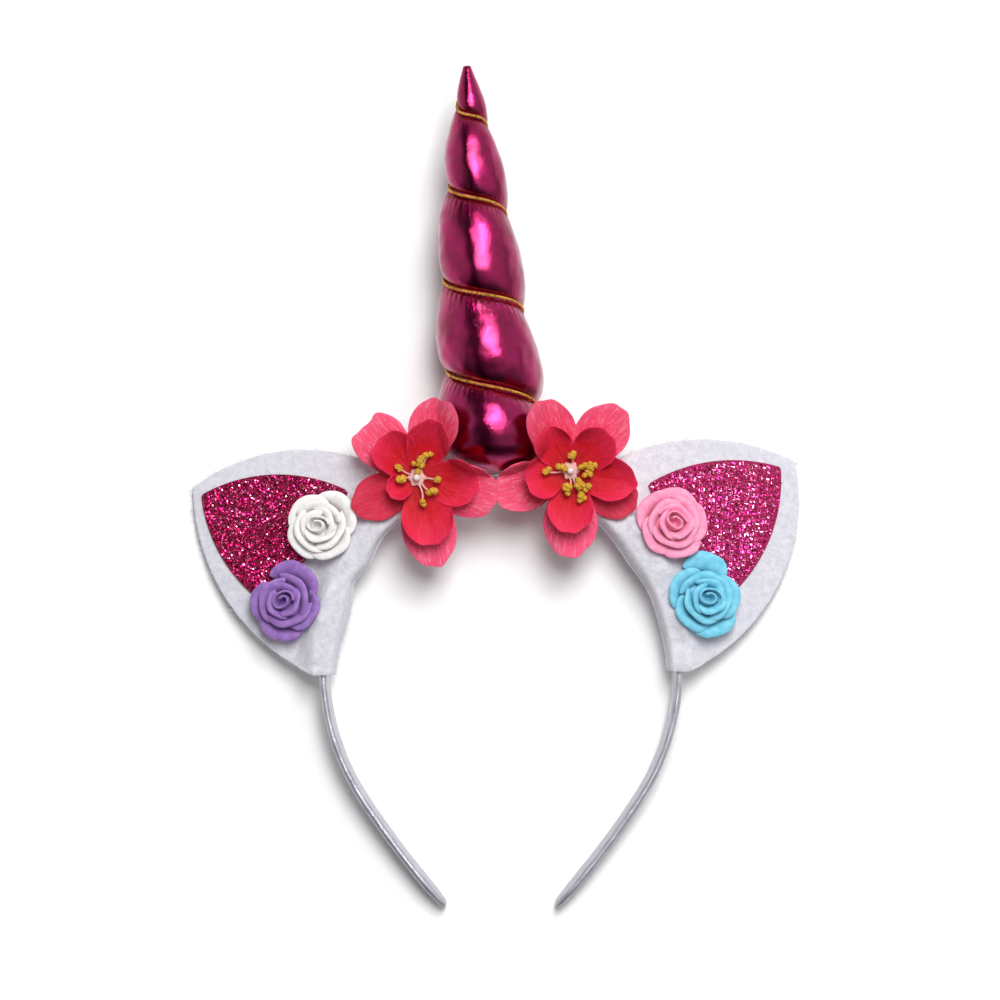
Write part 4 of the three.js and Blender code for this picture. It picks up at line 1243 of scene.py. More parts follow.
@dataclass
class Ear:
    """One ear: felt folded round the band, glitter cloth on its front."""

    side: Side
    root_low: float
    root_high: float
    anchor: float
    lean: float
    tip: float
    bow_low: float
    bow_high: float
    panel_tip: tuple[float, float]
    panel_high: tuple[float, float]
    panel_low: tuple[float, float]
    panel_bows: tuple[float, float, float]
    folds: tuple
    length: float = 64.0
    fold_depth: float = 6.7
    wall: float = 1.3
    gap: float = 0.3
    soft_fall: float = 6.5
    layer_rows: tuple[int, int] = (34, 22)
    front_rows: int = 56
    fold_row: int = 58
    columns: int = 96
    panel_wall: float = 0.5
    panel_grid_size: tuple[int, int] = (30, 70)
    flake_half: float = 0.035

    def __post_init__(self) -> None:
        """Works out the ear's own directions and how far it droops to the floor."""
        self.along = polar(self.lean)
        self.hand = -1 if self.along[0] < 0 else 1
        self.across = np.array([-self.along[1], self.along[0]]) * self.hand
        tip = self.place((self.tip, 0))
        out = float(HOOP.out_from(tip)) - HOOP.sleeve_half_width
        self.slope = (-PLANE.floor_height(tip[1]) - self.wall) / out

    def place(self, shares: tuple[float, float]) -> np.ndarray:
        """A place given along and across the ear as shares of its length."""
        start = HOOP.point(self.anchor)
        return start + self.length * (self.along * shares[0] + self.across * shares[1])

    def outline(self, share: float) -> np.ndarray:
        """The rim of the felt, from its low root past the tip to its high root.

        Args:
            share: the way along the rim, from 0 to 1.

        Returns:
            The point at that share.
        """
        room = HOOP.sleeve_half_width + self.gap
        roots = (self.root_low, self.root_high)
        low, high = (HOOP.point(a) + room * HOOP.normal(a) for a in roots)
        tip = self.place((self.tip, 0))
        if share <= 0.5:
            return arc_point(low, tip, -self.hand * self.bow_low, 2 * share)
        return arc_point(tip, high, -self.hand * self.bow_high, 2 * share - 1)

    def middle_height(self, out: np.ndarray) -> np.ndarray:
        """Height halfway between the layers at a distance out of the hoop."""
        return -self.slope * np.maximum(0, out - HOOP.sleeve_half_width)

    def half_height(self, out: np.ndarray, length: float = 3.5) -> np.ndarray:
        """Half the height over both layers, which falls over a length outside the hoop.

        Args:
            out: distances out of the hoop.
            length: the length of the fall.

        Returns:
            The half heights.
        """
        width = HOOP.sleeve_half_width
        fall = smoothstep(out, width - 0.2 * (length - 3.5), width + length)
        return HOOP.sleeve_half_height + (self.wall - HOOP.sleeve_half_height) * fall

    def front(self, places: np.ndarray) -> np.ndarray:
        """Height of the felt's front."""
        out = HOOP.out_from(places)
        return self.middle_height(out) + self.half_height(out)

    def felt_grid(self) -> np.ndarray:
        """The sheet's middle, a column for each share of its outline, from rim to fold to rim.

        Returns:
            The grid of points.
        """
        shares = np.linspace(0, 1, self.columns)
        width = HOOP.sleeve_half_width
        grid = []
        for share in shares:
            degrees = self.root_low + (self.root_high - self.root_low) * share
            centre, normal = HOOP.point(degrees), HOOP.normal(degrees)
            fold = self.fold_depth * float(smooth_value(self.folds, share))
            edge, rim = centre + width * normal, self.outline(share)
            reach = eased(self.layer_rows[0])[::-1, None]
            outer = edge + (rim - edge) * reach
            half = self.half_height(HOOP.out_from(outer), self.soft_fall) - self.wall / 2
            inner_out = np.linspace(width, self.wall - fold, self.layer_rows[1])[1:]
            shoulder = -0.35 * (fold + width)
            rise = np.clip((inner_out + fold - self.wall) / (shoulder + fold), 0, 1)
            top = HOOP.sleeve_half_height - self.wall / 2
            inner_half = self.wall / 2 + (top - self.wall / 2) * np.sin(rise * math.pi / 2) ** 0.8
            inner = centre + inner_out[:, None] * normal
            front = np.concatenate([outer, inner])
            half = np.concatenate([half, inner_half])
            base = self.middle_height(HOOP.out_from(front))
            turn = np.linspace(0, math.pi, 7)[1:-1]
            bend = centre + (self.wall - fold - self.wall / 2 * np.sin(turn))[:, None] * normal
            layers = [
                np.column_stack([front, base + half]),
                np.column_stack([bend, self.wall / 2 * np.cos(turn)]),
                np.column_stack([front, base - half])[::-1],
            ]
            grid.append(np.concatenate(layers))
        return np.array(grid)

    def felt(self) -> None:
        """Makes and dresses the folded felt and its loose fibres."""
        middle = self.felt_grid()
        out = HOOP.out_from(middle)
        front = np.arange(middle.shape[1])[None, :] < self.front_rows
        beside = np.exp(-(((out - 3) / 5.0) ** 2)) * front
        soft = 1.3 * beside * (lumps(middle, 9.0, 2.0) + 0.4 * lumps(middle, 4.0, 4.0))
        soft += 0.2 * front * lumps(middle, 10.0, 6.0)
        edge = smoothstep(rim_distance(middle), 0.5, 4)
        middle[..., 2] += soft * edge
        work = Patchwork()
        add_slab(work, middle, self.wall)
        name = self.side.value
        node = f"ear_felt_{name}"
        felt = Felt().material(f"felt_{name}")
        sheet = dress(work.build(f"ear_{name}_cloth", felt), "felt", node)
        fuzz = dress(self.fuzz(middle).build(f"ear_{name}_fibres", felt), "felt", node)

    def fuzz(self, middle: np.ndarray, count: int = 1500) -> Patchwork:
        """Loose fibres that stand out of the cut rim and the fold.

        Args:
            middle: grid of the felt's middle.
            count: number of fibres.

        Returns:
            The fibres as thin tubes.
        """
        pick = np.random.default_rng(11 if self.side is Side.LEFT else 12)
        work = Patchwork()
        last = middle.shape[1] - 1
        for _ in range(count):
            column = int(pick.integers(1, middle.shape[0] - 1))
            row = int(pick.choice([0, 0, 0, self.fold_row, last]))
            at = middle[column, row] + pick.normal(0, 0.35, 3)
            inner = middle[column, min(max(row, 2), last - 2) - (2 if row else -2)]
            if row == self.fold_row:
                away = -unit(middle[column, 0] - at)
            else:
                away = unit(middle[column, row] - inner)
            start = at + 0.2 * away
            drift = unit(away + pick.normal(0, 0.9, 3))
            size = pick.uniform(0.5, 1.5)
            curl = pick.normal(0, 0.25, 3)
            steps = np.linspace(0, 1, 4)[:, None]
            add_tube(work, start + size * (steps * drift + steps**2 * curl), 0.03, 3)
        return work

    def panel_grid(self, rows: int, columns: int) -> np.ndarray:
        """Places of the glitter cloth in the hoop's plane, by rows from its inner edge.

        Args:
            rows: rows of the grid.
            columns: places in a row.

        Returns:
            The places.
        """
        tip, high, low = (self.place(p) for p in (self.panel_tip, self.panel_high, self.panel_low))
        bow_high, bow_low, bow_inner = self.panel_bows
        grid = np.empty((rows, columns, 2))
        for c, share in enumerate(np.linspace(0.012, 0.988, columns)):
            inner = arc_point(low, high, self.hand * bow_inner, share)
            if share <= 0.5:
                outer = arc_point(low, tip, -self.hand * bow_low, 2 * share)
            else:
                outer = arc_point(tip, high, -self.hand * bow_high, 2 * share - 1)
            grid[:, c] = inner + (outer - inner) * np.linspace(0.05, 1, rows)[:, None]
        return grid

    def glitter(self) -> None:
        """Makes and dresses the glitter cloth and its flakes."""
        flat = self.panel_grid(*self.panel_grid_size)
        heights = self.front(flat) + self.gap + 0.3
        middle = np.concatenate([flat, heights[..., None]], -1)
        name = self.side.value
        work = Patchwork()
        add_slab(work, middle, self.panel_wall, round_rim=False)
        node = f"ear_glitter_{name}"
        if self.side is Side.LEFT:
            cloth = GlitterGround("glitter_ground_left", tone(104, 0, 42), tone(146, 2, 62))
            foil = GlitterFlake("glitter_flakes_left", (0.3, 0.001, 0.05), (0.8, 0.03, 0.2))
        else:
            cloth = GlitterGround("glitter_ground_right", tone(128, 2, 56), tone(180, 14, 92))
            foil = GlitterFlake("glitter_flakes_right", (0.42, 0.002, 0.1), (0.9, 0.06, 0.34))
        ground = dress(work.build(f"ear_{name}_panel", cloth.material()), "glitter_cloth", node)
        flakes = self.flakes(middle).build(f"ear_{name}_flakes", foil.material(), 20)
        dress(flakes, "glitter_cloth", node)

    def flakes(self, middle: np.ndarray, count: int = 7600) -> Patchwork:
        """Thin foil flakes strewn over the left panel and in curly rows over the right one.

        Args:
            middle: grid of the panel's middle.
            count: number of flakes.

        Returns:
            The flakes as closed plates.
        """
        pick = np.random.default_rng(21 if self.side is Side.LEFT else 22)
        columns = middle.shape[1]
        weight = cell_areas(middle).ravel()
        cell = pick.choice(len(weight), count, p=weight / weight.sum())
        r, c = cell // (columns - 1), cell % (columns - 1)
        s, t = pick.uniform(0, 1, (2, count, 1))
        low = middle[r, c] * (1 - t) + middle[r, c + 1] * t
        at = low * (1 - s) + (middle[r + 1, c] * (1 - t) + middle[r + 1, c + 1] * t) * s
        spin = pick.uniform(0, FULL_TURN, count)
        size = pick.uniform(0.14, 0.29, (count, 2))
        keep, dimming = 0.985, 1.9
        if self.side is Side.RIGHT:
            spacing, keep, dimming = 1.5, 0.965, 0.9
            ahead = at[:, :2] @ self.along
            row = np.round(ahead / spacing)
            side = at[:, :2] @ self.across
            wave = 0.45 * np.sin(2.6 * side + 2.4 * row)
            shift = row * spacing + wave - ahead
            at[:, :2] += shift[:, None] * self.along * 0.85
            spin = np.arctan2(np.cos(2.6 * side + 2.4 * row), 0.9) + math.radians(self.lean + 90)
            size = np.stack([pick.uniform(0.34, 0.6, count), pick.uniform(0.12, 0.2, count)], -1)
        heart = at[:, :2].mean(0)
        at[:, :2] = heart + keep * (at[:, :2] - heart)
        lean = pick.normal(0, 0.34, (count, 2))
        first = np.stack([np.cos(spin), np.sin(spin), lean[:, 0]], -1)
        second = np.stack([-np.sin(spin), np.cos(spin), lean[:, 1]], -1)
        first, second = unit(first) * size[:, :1], unit(second) * size[:, 1:]
        up = unit(np.cross(first, second)) * self.flake_half
        raised = np.array([0, 0, self.panel_wall / 2 + 0.12])
        at = at + raised + up * pick.uniform(0, 4, (count, 1))
        corners = [(a, b, k) for k in (1, -1) for a, b in ((1, 1), (-1, 1), (-1, -1), (1, -1))]
        points = np.stack([at + a * first + b * second + k * up for a, b, k in corners], 1)
        plate = [[0, 1, 2, 3], [7, 6, 5, 4], [1, 0, 4, 5], [2, 1, 5, 6], [3, 2, 6, 7], [0, 3, 7, 4]]
        faces = (np.array(plate)[None] + 8 * np.arange(count)[:, None, None]).reshape(-1, 4)
        shine = np.repeat(pick.uniform(0, 1, count) ** dimming, len(corners))
        work = Patchwork()
        work.add(points.reshape(-1, 3), faces, tint=shine)
        return work

    def build(self) -> None:
        """Makes the felt and the glitter cloth."""
        self.felt()
        self.glitter()


# Roses


@dataclass
class Rose:
    """One foam rose glued on an ear: wraps of petals round a bud."""

    node: str
    foam: Foam
    ear: Ear
    centre: tuple[float, float]
    wraps: tuple
    height: float = 12.4
    wall: float = 1.0
    widest: float = 15.0
    bud: float = 3.5
    bud_wall: float = 1.05
    solid_height: float = 12.0

    def frame(self) -> tuple[np.ndarray, np.ndarray]:
        """Where the rose sits.

        Returns:
            The middle of its foot and its turn, as a matrix of columns.
        """
        x, y = self.ear.place(self.centre)
        front = [float(self.ear.front(np.array(p))) for p in ((x, y), (x + 1, y), (x, y + 1))]
        normal = unit(np.array([front[0] - front[1], front[0] - front[2], 1.0]))
        low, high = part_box(self.node)
        middle = PLANE.from_part(np.array((low + high) / 2))
        foot = middle - 0.5 * self.solid_height * normal
        turn = Vector((0, 0, 1)).rotation_difference(Vector(normal)).to_matrix()
        return np.array([x, y, foot[2]]), np.array(turn)

    def petal(self, toward: float, half_span: float, reach: float, seed: float) -> np.ndarray:
        """The middle of one petal in the rose's own frame: it stands up steeply, then flares out.

        Args:
            toward: the way that it opens, in degrees.
            half_span: half the angle that it spans.
            reach: how far its rim lies from the rose's middle.
            seed: shift of its ruffle.

        Returns:
            A grid of points, from foot to rim.
        """
        up = np.linspace(0, 1, 18)[:, None]
        wide = np.linspace(-1, 1, max(21, int(half_span / 2.5) | 1))[None, :]
        ends = np.abs(wide) ** 3
        lobe = smoothstep(reach, 10, 12.6)
        lip = 3.2 + 0.3 * (reach - 6)
        root = (reach - lip) * (1 + 0.2 * (1 - lobe) * (wide**2 - 0.4)) + 0.7 * wide
        lip = lip * (1 - (0.3 + 0.35 * lobe) * ends) + 0.2 * np.sin(2.2 * math.pi * wide + seed)
        top = self.height * (1 - 0.6 * (reach / self.widest) ** 1.9) + 0.3 * math.sin(3 * seed)
        top = top * (1 - 0.16 * ends) - 0.3 * wide
        curl = 0.35 * smoothstep(up, 0.75, 1.0)
        high = 0.4 + (top - 0.4) * (1 - (1 - up) ** 3) - curl
        radius = root + lip * up**1.3
        angle = np.radians(toward + half_span * wide * (0.9 + 0.1 * up))
        return np.stack([radius * np.cos(angle), radius * np.sin(angle), high], -1)

    def build(self) -> None:
        """Makes and dresses the rose."""
        at, turn = self.frame()
        work = Patchwork()
        for number, (toward, half_span, reach) in enumerate(self.wraps):
            middle = self.petal(toward, half_span, reach, 1.7 * number)
            add_slab(work, middle @ turn.T + at, self.wall)
        add_slab(work, self.rolled_bud() @ turn.T + at, self.bud_wall)
        around = np.linspace(0, FULL_TURN, 24, endpoint=False)
        ring = np.stack([np.cos(around), np.sin(around), 0 * around], -1)
        levels = [(0.34, 0.0), (0.5, 0.25), (0.46, 0.45), (0.2, 0.6)]
        core = [ring * self.widest * r + np.array([0, 0, self.height * h]) for r, h in levels]
        add_rings(work, np.array(core) @ turn.T + at)
        slot = self.node.replace("rose", "foam")
        rose = dress(work.build(f"{self.node}_petals", self.foam.material()), slot, self.node)

    def rolled_bud(self) -> np.ndarray:
        """The middle of the sheet rolled up in the rose's heart, from foot to rim.

        Returns:
            A grid of points in the rose's own frame.
        """
        turns = np.linspace(0, 1.4 * FULL_TURN, 60)[None, :]
        up = np.linspace(0, 1, 12)[:, None]
        radius = self.bud + (0.9 - self.bud) * turns / turns.max() + 0.4 * np.sin(up * math.pi / 2)
        radius = radius * (1 + 0.14 * np.cos(2 * turns + self.wraps[0][0]))
        high = 2 + (self.height - 2.0) * up - 0.5 * up * np.abs(np.sin(1.5 * turns))
        return np.stack([radius * np.cos(turns), radius * np.sin(turns), high + 0 * turns], -1)


# Flowers


@dataclass
class Flower:
    """One cloth flower: two layers of petals, stamens and a bead."""

    side: Side
    at: float
    outer: tuple
    inner: tuple
    anthers: tuple
    # Darkening of each outer petal: painted shade on the left flower's low back petal, a darker
    # tone on the right flower's petals.
    painted_shade_and_darker_tone: tuple
    horn: Horn
    reach: float = 31.0
    out: float = 6.0
    cloth: float = 0.55
    petal_wall: float = 1.0
    layer_rise: float = 2.6
    floor: float = 6.95
    inner_cup: float = 4.2
    claw: float = 0.34
    round_end: float = 0.38
    stamen_reach: float = 9.0
    foot_radius: float = 3.1
    filament_radius: float = 0.34
    pearl_radius: float = 1.3

    def __post_init__(self) -> None:
        """Places the flower on the band."""
        self.centre = HOOP.point(self.at) + self.out * HOOP.normal(self.at)

    def underside(self, places: np.ndarray) -> np.ndarray:
        """Height under the outer layer over places round the centre."""
        return np.maximum(self.floor, self.horn.front(places + self.centre) + 0.9)

    def petal(self, row: tuple, cup: float, rise: float, seed: float) -> np.ndarray:
        """The middle of one petal.

        Args:
            row: its direction, length, width, notch and lift.
            cup: how far its sides curl up.
            rise: height of its layer over the first.
            seed: shift of its ruffle.

        Returns:
            A grid of points in the hoop's plane, from its root to its end.
        """
        toward, length, width, notch, lift = row
        share = np.linspace(0, 1, 30)[:, None]
        turn = math.pi / 2 * np.linspace(-1, 1, 27)[None, :]
        wide, ahead = np.sin(turn), np.cos(turn)
        broad = self.claw + (1 - self.claw) * np.sin(math.pi / 2 * share)
        frill = 1 + 0.012 * np.sin(9 * wide + 3 * seed)
        end = (1 - self.round_end * (1 - ahead)) * (1 - notch * ahead**6) * frill
        out = 0.06 + (end - 0.06) * share
        aside = self.reach * width / 2 * broad * wide * (1 + 0.02 * np.sin(11 * share + seed))
        along = polar(toward)
        across = np.array([-along[1], along[0]])
        flat = (self.reach * length * out)[..., None] * along + aside[..., None] * across
        raised = self.reach * lift * out**2.2 + cup * share**2 * wide**2
        shingled = 0.75 * self.petal_wall * wide * share
        ruffle = 0.5 * share**2 * wide**2 * np.sin(7 * share + seed)
        ruffle = ruffle + 0.4 * share**3 * np.sin(4 * wide + 2 * seed)
        crease = -0.4 * np.exp(-((wide / 0.12) ** 2)) * np.sin(math.pi * share)
        base = self.underside(flat) + rise + 1.5 * self.petal_wall
        high = base + raised + shingled + ruffle + crease
        return np.concatenate([flat + self.centre, high[..., None]], -1)

    def layer(
        self, node: str, rows: tuple, cup: float, rise: float, cloth: PetalCloth
    ) -> None:
        """Makes and dresses one layer of petals.

        Args:
            node: the node that it takes the place of.
            rows: a row for each petal.
            cup: how far the sides curl up.
            rise: height of the layer over the first.
            cloth: its finish, named as its slot is.
        """
        work = Patchwork()
        for number, row in enumerate(rows):
            middle = self.petal(row, cup, rise, 1.3 * number + self.at)
            # Only outer petals are darkened: painted shade on the left flower's low back petal, a
            # darker tone on the right flower's.
            deeper = self.painted_shade_and_darker_tone[number] if rows is self.outer else 0.0
            add_slab(work, middle, self.cloth, tint=deeper)
        work.add(*self.hub(rise))
        layer = dress(work.build(f"{node}_cloth", cloth.material()), cloth.name, node)

    def hub(self, rise: float) -> tuple[np.ndarray, list]:
        """The cloth disc that joins the petals of a layer.

        Args:
            rise: height of the layer over the first.

        Returns:
            Its points, and its faces.
        """
        around = np.linspace(0, FULL_TURN, 28, endpoint=False)
        ring = np.stack([np.cos(around), np.sin(around)], -1)
        base = float(self.underside(np.zeros(2))) + rise
        levels = [(4.2, 0.1), (4.6, 0.6), (4.4, 1.5), (2.5, 2.0), (0.3, 2.0)]
        rows = [np.column_stack([self.centre + r * ring, np.full(28, base + z)]) for r, z in levels]
        faces = grid_faces(len(levels), 28, wrap=True).tolist()
        return np.concatenate(rows), faces

    def stamens(self) -> None:
        """Makes and dresses the stamens and the bead."""
        foot = self.floor + 2 * self.layer_rise
        centre = np.array([*self.centre, foot])
        pick = np.random.default_rng(int(self.at))
        work = Patchwork()
        around = np.linspace(0, FULL_TURN, 60, endpoint=False)
        star = 1 + 0.12 * np.cos(6 * around)
        ring = np.stack([np.cos(around) * star, np.sin(around) * star, 0 * around], -1)
        levels = [(0.3, 0.02), (0.9, 0.02), (1.0, 0.4), (0.92, 0.85), (0.7, 1.0), (0.2, 1.0)]
        rows = [centre + ring * self.foot_radius * r + np.array([0, 0, z]) for r, z in levels]
        add_rings(work, np.array(rows), tint=0.2)
        for number, (toward, reach, size) in enumerate(self.anthers):
            ahead = np.array([*polar(toward), 0.0])
            begin = centre + 0.7 * self.foot_radius * ahead + np.array([0, 0, 0.5])
            end = centre + self.stamen_reach * reach * ahead + np.array([0, 0, 2.9])
            bend = np.array([-ahead[1], ahead[0], 0.0]) * pick.normal(0, 0.5)
            share = np.linspace(0, 1, 12)[:, None]
            path = begin + (end - begin) * share + np.sin(math.pi * share) * bend
            add_tube(work, path, self.filament_radius, 8, 0.3)
            clump = round(7 * size**1.8)
            for lump in range(clump):
                along = (lump + 0.5) / clump - 0.5
                slip = 2.9 * size**1.6 * along * ahead + pick.normal(0, 0.62 * size**1.8, 3)
                slip[2] = abs(slip[2])
                radius, seed = pick.uniform(0.85, 1.2), number + 0.3 * lump + 1
                add_ball(work, end + slip, radius, 12, 0.4, seed)
        node = f"flower_{self.side.value}_stamens"
        dress(work.build(f"{node}_sugared", SugarGrain().material(), 60), "stamen_sugar", node)
        bead = Patchwork()
        lift = np.array([0, 0, 1.3 + self.pearl_radius])
        add_ball(bead, centre + lift, self.pearl_radius, 16)
        node = f"flower_{self.side.value}_pearl"
        dress(bead.build(f"{node}_bead", PearlGloss().material()), "pearl", node)

    def build(self) -> None:
        """Makes the layers, the stamens and the bead."""
        name = f"flower_{self.side.value}"
        pale = PetalCloth(
            "petal_cloth_light", tone(190, 10, 44), tone(222, 48, 88), tone(232, 78, 116),
            tone(248, 176, 196), 0.55,
        )
        deep = PetalCloth(
            "petal_cloth_deep", tone(164, 1, 16), tone(198, 5, 32), tone(220, 34, 74),
            tone(240, 100, 128), 0.22,
        )
        self.layer(f"{name}_outer_petals", self.outer, 0.0, 0.0, pale)
        self.layer(f"{name}_inner_petals", self.inner, self.inner_cup, self.layer_rise, deep)
        self.stamens()


# Floor, light and camera


@dataclass(frozen=True)
class Studio:
    """A pale floor under soft light, seen square to the hoop's plane."""

    aim: tuple[float, float] = (-0.36, 60.5)
    distance: float = 2500.0
    seen_width: float = 360.0
    sensor: float = 36.0
    floor_size: float = 6.0
    floor_tone: float = 0.95
    key_size: tuple[float, float] = (0.6, 0.9)
    key_place: tuple[float, float, float] = (0.2, 0.5, 1.5)
    key_power: float = 23.0
    room: tuple = (
        (0, 0.975), (0.04, 0.78), (0.12, 0.78), (0.2, 0.07), (0.42, 0.07),
        (0.52, 0.546), (0.62, 0.78), (0.95, 0.78), (1, 0.312),
    )
    foot_fall: tuple = (
        ("From Min", -0.75), ("From Max", -0.1), ("To Min", 0.12), ("To Max", 1.0),
    )

    def floor(self) -> None:
        """Lays the floor."""
        s = Shading("studio_floor")
        shade = s.ramp(s.noise(300, 1), [(0.0, (0.94,) * 3), (1.0, (self.floor_tone,) * 3)])
        s.set(Base_Color=shade, Roughness=0.9, Specular_IOR_Level=0.1)
        half = self.floor_size / 2
        mesh = bpy.data.meshes.new("studio_floor")
        corners = [(-half, -half, 0), (half, -half, 0), (half, half, 0), (-half, half, 0)]
        mesh.from_pydata(corners, [], [(0, 1, 2, 3)])
        mesh.materials.append(s.material)
        ground = bpy.data.objects.new("studio_floor", mesh)
        bpy.context.scene.collection.objects.link(ground)

    def light(self) -> None:
        """Hangs the soft box and lights the room round it."""
        data = bpy.data.lights.new("key_softbox", "AREA")
        data.shape = "RECTANGLE"
        data.size, data.size_y = self.key_size
        data.energy = self.key_power
        lamp = bpy.data.objects.new("key_softbox", data)
        lamp.location = self.key_place
        lamp.rotation_euler = Vector(self.key_place).to_track_quat("Z", "Y").to_euler()
        bpy.context.scene.collection.objects.link(lamp)
        world = bpy.data.worlds.new("studio_room")
        world.use_nodes = True
        nodes, links = world.node_tree.nodes, world.node_tree.links
        place = nodes.new("ShaderNodeTexCoord")
        parts = nodes.new("ShaderNodeSeparateXYZ")
        strip = nodes.new("ShaderNodeValToRGB")
        shift = nodes.new("ShaderNodeMapRange")
        links.new(place.outputs["Generated"], parts.inputs[0])
        shift.inputs["From Min"].default_value = -1
        shift.inputs["From Max"].default_value = 1
        links.new(parts.outputs["X"], shift.inputs["Value"])
        links.new(shift.outputs[0], strip.inputs[0])
        while len(strip.color_ramp.elements) < len(self.room):
            strip.color_ramp.elements.new(0.5)
        for element, (at, level) in zip(strip.color_ramp.elements, self.room):
            element.position = at
            element.color = (level, level, level, 1.0)
        fall = nodes.new("ShaderNodeMapRange")
        fall.interpolation_type = "SMOOTHSTEP"
        for key, value in self.foot_fall:
            fall.inputs[key].default_value = value
        links.new(parts.outputs["Y"], fall.inputs["Value"])
        both = nodes.new("ShaderNodeVectorMath")
        both.operation = "SCALE"
        links.new(strip.outputs[0], both.inputs[0])
        links.new(fall.outputs[0], both.inputs["Scale"])
        links.new(both.outputs[0], nodes["Background"].inputs[0])
        nodes["Background"].inputs[1].default_value = 1.0
        bpy.context.scene.world = world

    def camera(self) -> None:
        """Sets the camera up square to the hoop's plane."""
        data = bpy.data.cameras.new("front_view")
        data.sensor_width = self.sensor
        data.lens = self.sensor * self.distance / self.seen_width
        data.clip_end = 10.0
        camera = bpy.data.objects.new("front_view", data)
        turn = Matrix(PLANE.matrix().tolist()).to_4x4()
        camera.matrix_world = Matrix.Translation(PLANE.to_part([*self.aim, self.distance])) @ turn
        bpy.context.scene.collection.objects.link(camera)
        bpy.context.scene.camera = camera
        bpy.context.scene.view_settings.view_transform = "Standard"

    def build(self) -> None:
        """Lays the floor, hangs the light and sets up the camera."""
        self.floor()
        self.light()
        self.camera()


def make_ears() -> dict[Side, Ear]:
    """The two ears, as they are cut.

    Returns:
        The ear of each side.
    """
    left = Ear(
        Side.LEFT, 182, 117.4, 150, 152.2, 1, 0.145, 0.166,
        (0.937, -0.012), (0.21, 0.397), (0.385, -0.376), (0.125, 0.1, 0.13),
        ((0, 0.64), (0.38, 0.86), (0.45, 0.63), (0.56, 0.9), (0.7, 0.6), (1, 0.6)),
    )
    right = Ear(
        Side.RIGHT, -0.9, 65, 30, 37.6, 1.01, 0.177, 0.146,
        (0.928, 0.022), (0.27, 0.406), (0.269, -0.373), (0.107, 0.115, 0.1),
        ((0, 0.6), (0.25, 0.76), (0.4, 0.8), (0.55, 1), (0.8, 0.8), (1, 0.6)),
    )
    return {Side.LEFT: left, Side.RIGHT: right}


def make_roses(ears: dict[Side, Ear]) -> list[Rose]:
    """The four roses, each with a row for every petal: direction, half span and reach.

    Args:
        ears: the ears that they sit on.

    Returns:
        The roses.
    """
    left, right = ears[Side.LEFT], ears[Side.RIGHT]
    white = Foam("foam_white", tone(240, 238, 235), tone(228, 224, 224))
    purple = Foam("foam_purple", tone(158, 118, 190), tone(136, 96, 170))
    pink = Foam("foam_pink", tone(246, 160, 192), tone(238, 136, 174))
    blue = Foam("foam_blue", tone(128, 206, 228), tone(98, 186, 214))
    return [
        Rose("rose_white", white, left, (0.23, 0.144), (
            (38, 62, 14.2), (128, 60, 12.7), (215, 62, 12.4), (300, 60, 12.7),
            (80, 72, 9.7), (205, 74, 9.4), (325, 70, 9.9),
            (30, 78, 6.8), (150, 80, 6.3), (268, 76, 6.7))),
        Rose("rose_purple", purple, left, (0.205, -0.309), (
            (68, 58, 14.8), (178, 46, 13.4), (252, 52, 14.3), (330, 54, 12.8),
            (30, 72, 10), (160, 74, 9.5), (285, 72, 10),
            (85, 80, 6.9), (205, 78, 6.3), (330, 76, 6.6))),
        Rose("rose_pink", pink, right, (0.219, 0.149), (
            (140, 58, 13.6), (70, 56, 13.2), (0, 56, 12.8), (-72, 56, 13.1), (-142, 56, 12.6),
            (20, 72, 9.9), (140, 72, 9.4), (262, 74, 9.7),
            (75, 80, 6.8), (195, 78, 6.3), (315, 78, 6.9))),
        Rose("rose_blue", blue, right, (0.112, -0.287), (
            (82, 40, 17), (150, 54, 13.6), (225, 54, 12.8), (290, 54, 14.6), (0, 54, 12.8),
            (100, 72, 10), (225, 72, 9.4), (345, 72, 9.7),
            (50, 80, 6.9), (170, 78, 6.3), (292, 78, 6.7))),
    ]


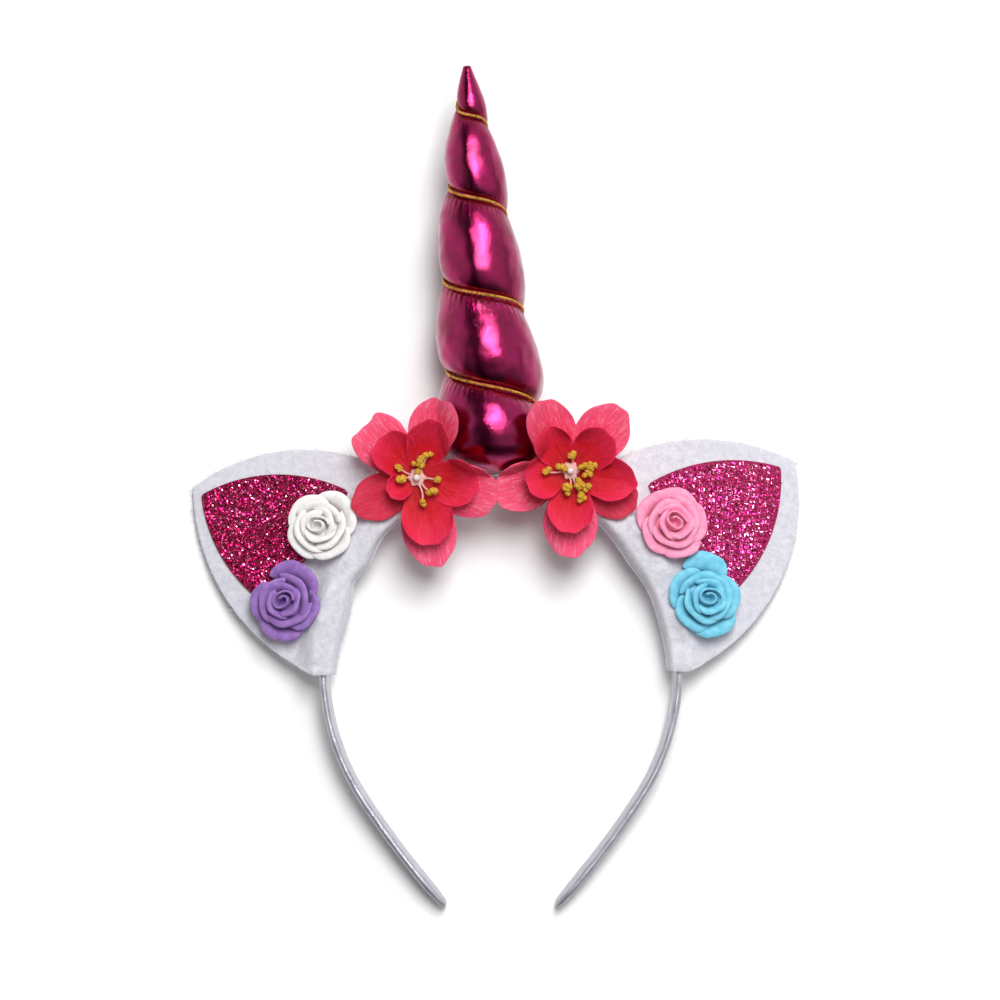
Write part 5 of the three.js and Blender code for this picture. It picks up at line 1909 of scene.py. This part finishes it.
def make_flowers(horn: Horn) -> list[Flower]:
    """The two flowers: rows for petals (direction, length, width, notch, lift) and for anthers.

    Args:
        horn: the horn that their petals lean on.

    Returns:
        The flowers.
    """
    left = Flower(
        Side.LEFT, 115.5,
        (
            (135, 0.96, 0.62, 0.12, 0.05), (72, 0.98, 0.56, 0.04, 0.18),
            (-15, 0.99, 0.6, 0.04, 0.15), (-77, 1.03, 0.63, -0.03, 0.04),
            (207, 0.8, 0.54, -0.04, 0),
        ),
        (
            (132, 0.64, 0.5, 0.03, 0.22), (72, 0.66, 0.5, -0.06, 0.24), (-8, 0.72, 0.54, 0, 0.2),
            (-75, 0.8, 0.6, 0, 0.16), (208, 0.38, 0.3, 0, 0.14),
        ),
        (
            (149, 0.77, 0.8), (184, 0.62, 0.9), (80, 0.6, 1.25), (63, 0.98, 0.7), (-8, 0.83, 0.7),
            (-42, 0.83, 0.85), (-77, 0.98, 0.7),
        ),
        # Darkening of the outer petals: painted shade on the low back petal, which faces down into
        # shade.
        (0, 0, 0, 0, 0.9),
        horn,
    )
    right = Flower(
        Side.RIGHT, 69.2,
        (
            (114, 0.88, 0.56, 0, 0.2), (50, 0.92, 0.62, -0.03, 0.1), (-30, 0.87, 0.54, 0, 0.01),
            (270, 0.98, 0.62, -0.03, 0.04), (199, 0.93, 0.56, 0, 0.03),
        ),
        (
            (125, 0.58, 0.44, 0.05, 0.26), (42, 0.63, 0.5, 0.02, 0.26),
            (-12, 0.74, 0.5, -0.06, 0.16), (270, 0.72, 0.52, 0, 0.18),
            (195, 0.54, 0.48, 0.02, 0.22),
        ),
        (
            (183, 0.95, 0.75), (163, 0.4, 0.8), (80, 0.6, 0.85), (12, 0.7, 1.3), (-52, 0.7, 1.3),
            (-100, 0.72, 1), (-66, 1.12, 0.9),
        ),
        # Darkening of the outer petals: a darker tone on the low right petal and a little on the
        # upper one.
        (0.15, 0, 0.8, 0, 0),
        horn,
    )
    return [left, right]


def main() -> None:
    """Builds the headband and its studio; each piece logs its points and faces."""
    horn = Horn()
    ears = make_ears()
    Band().build()
    horn.build()
    for ear in ears.values():
        ear.build()
    for rose in make_roses(ears):
        rose.build()
    for flower in make_flowers(horn):
        flower.build()
    Studio().build()


if __name__ == "__main__":
    main()
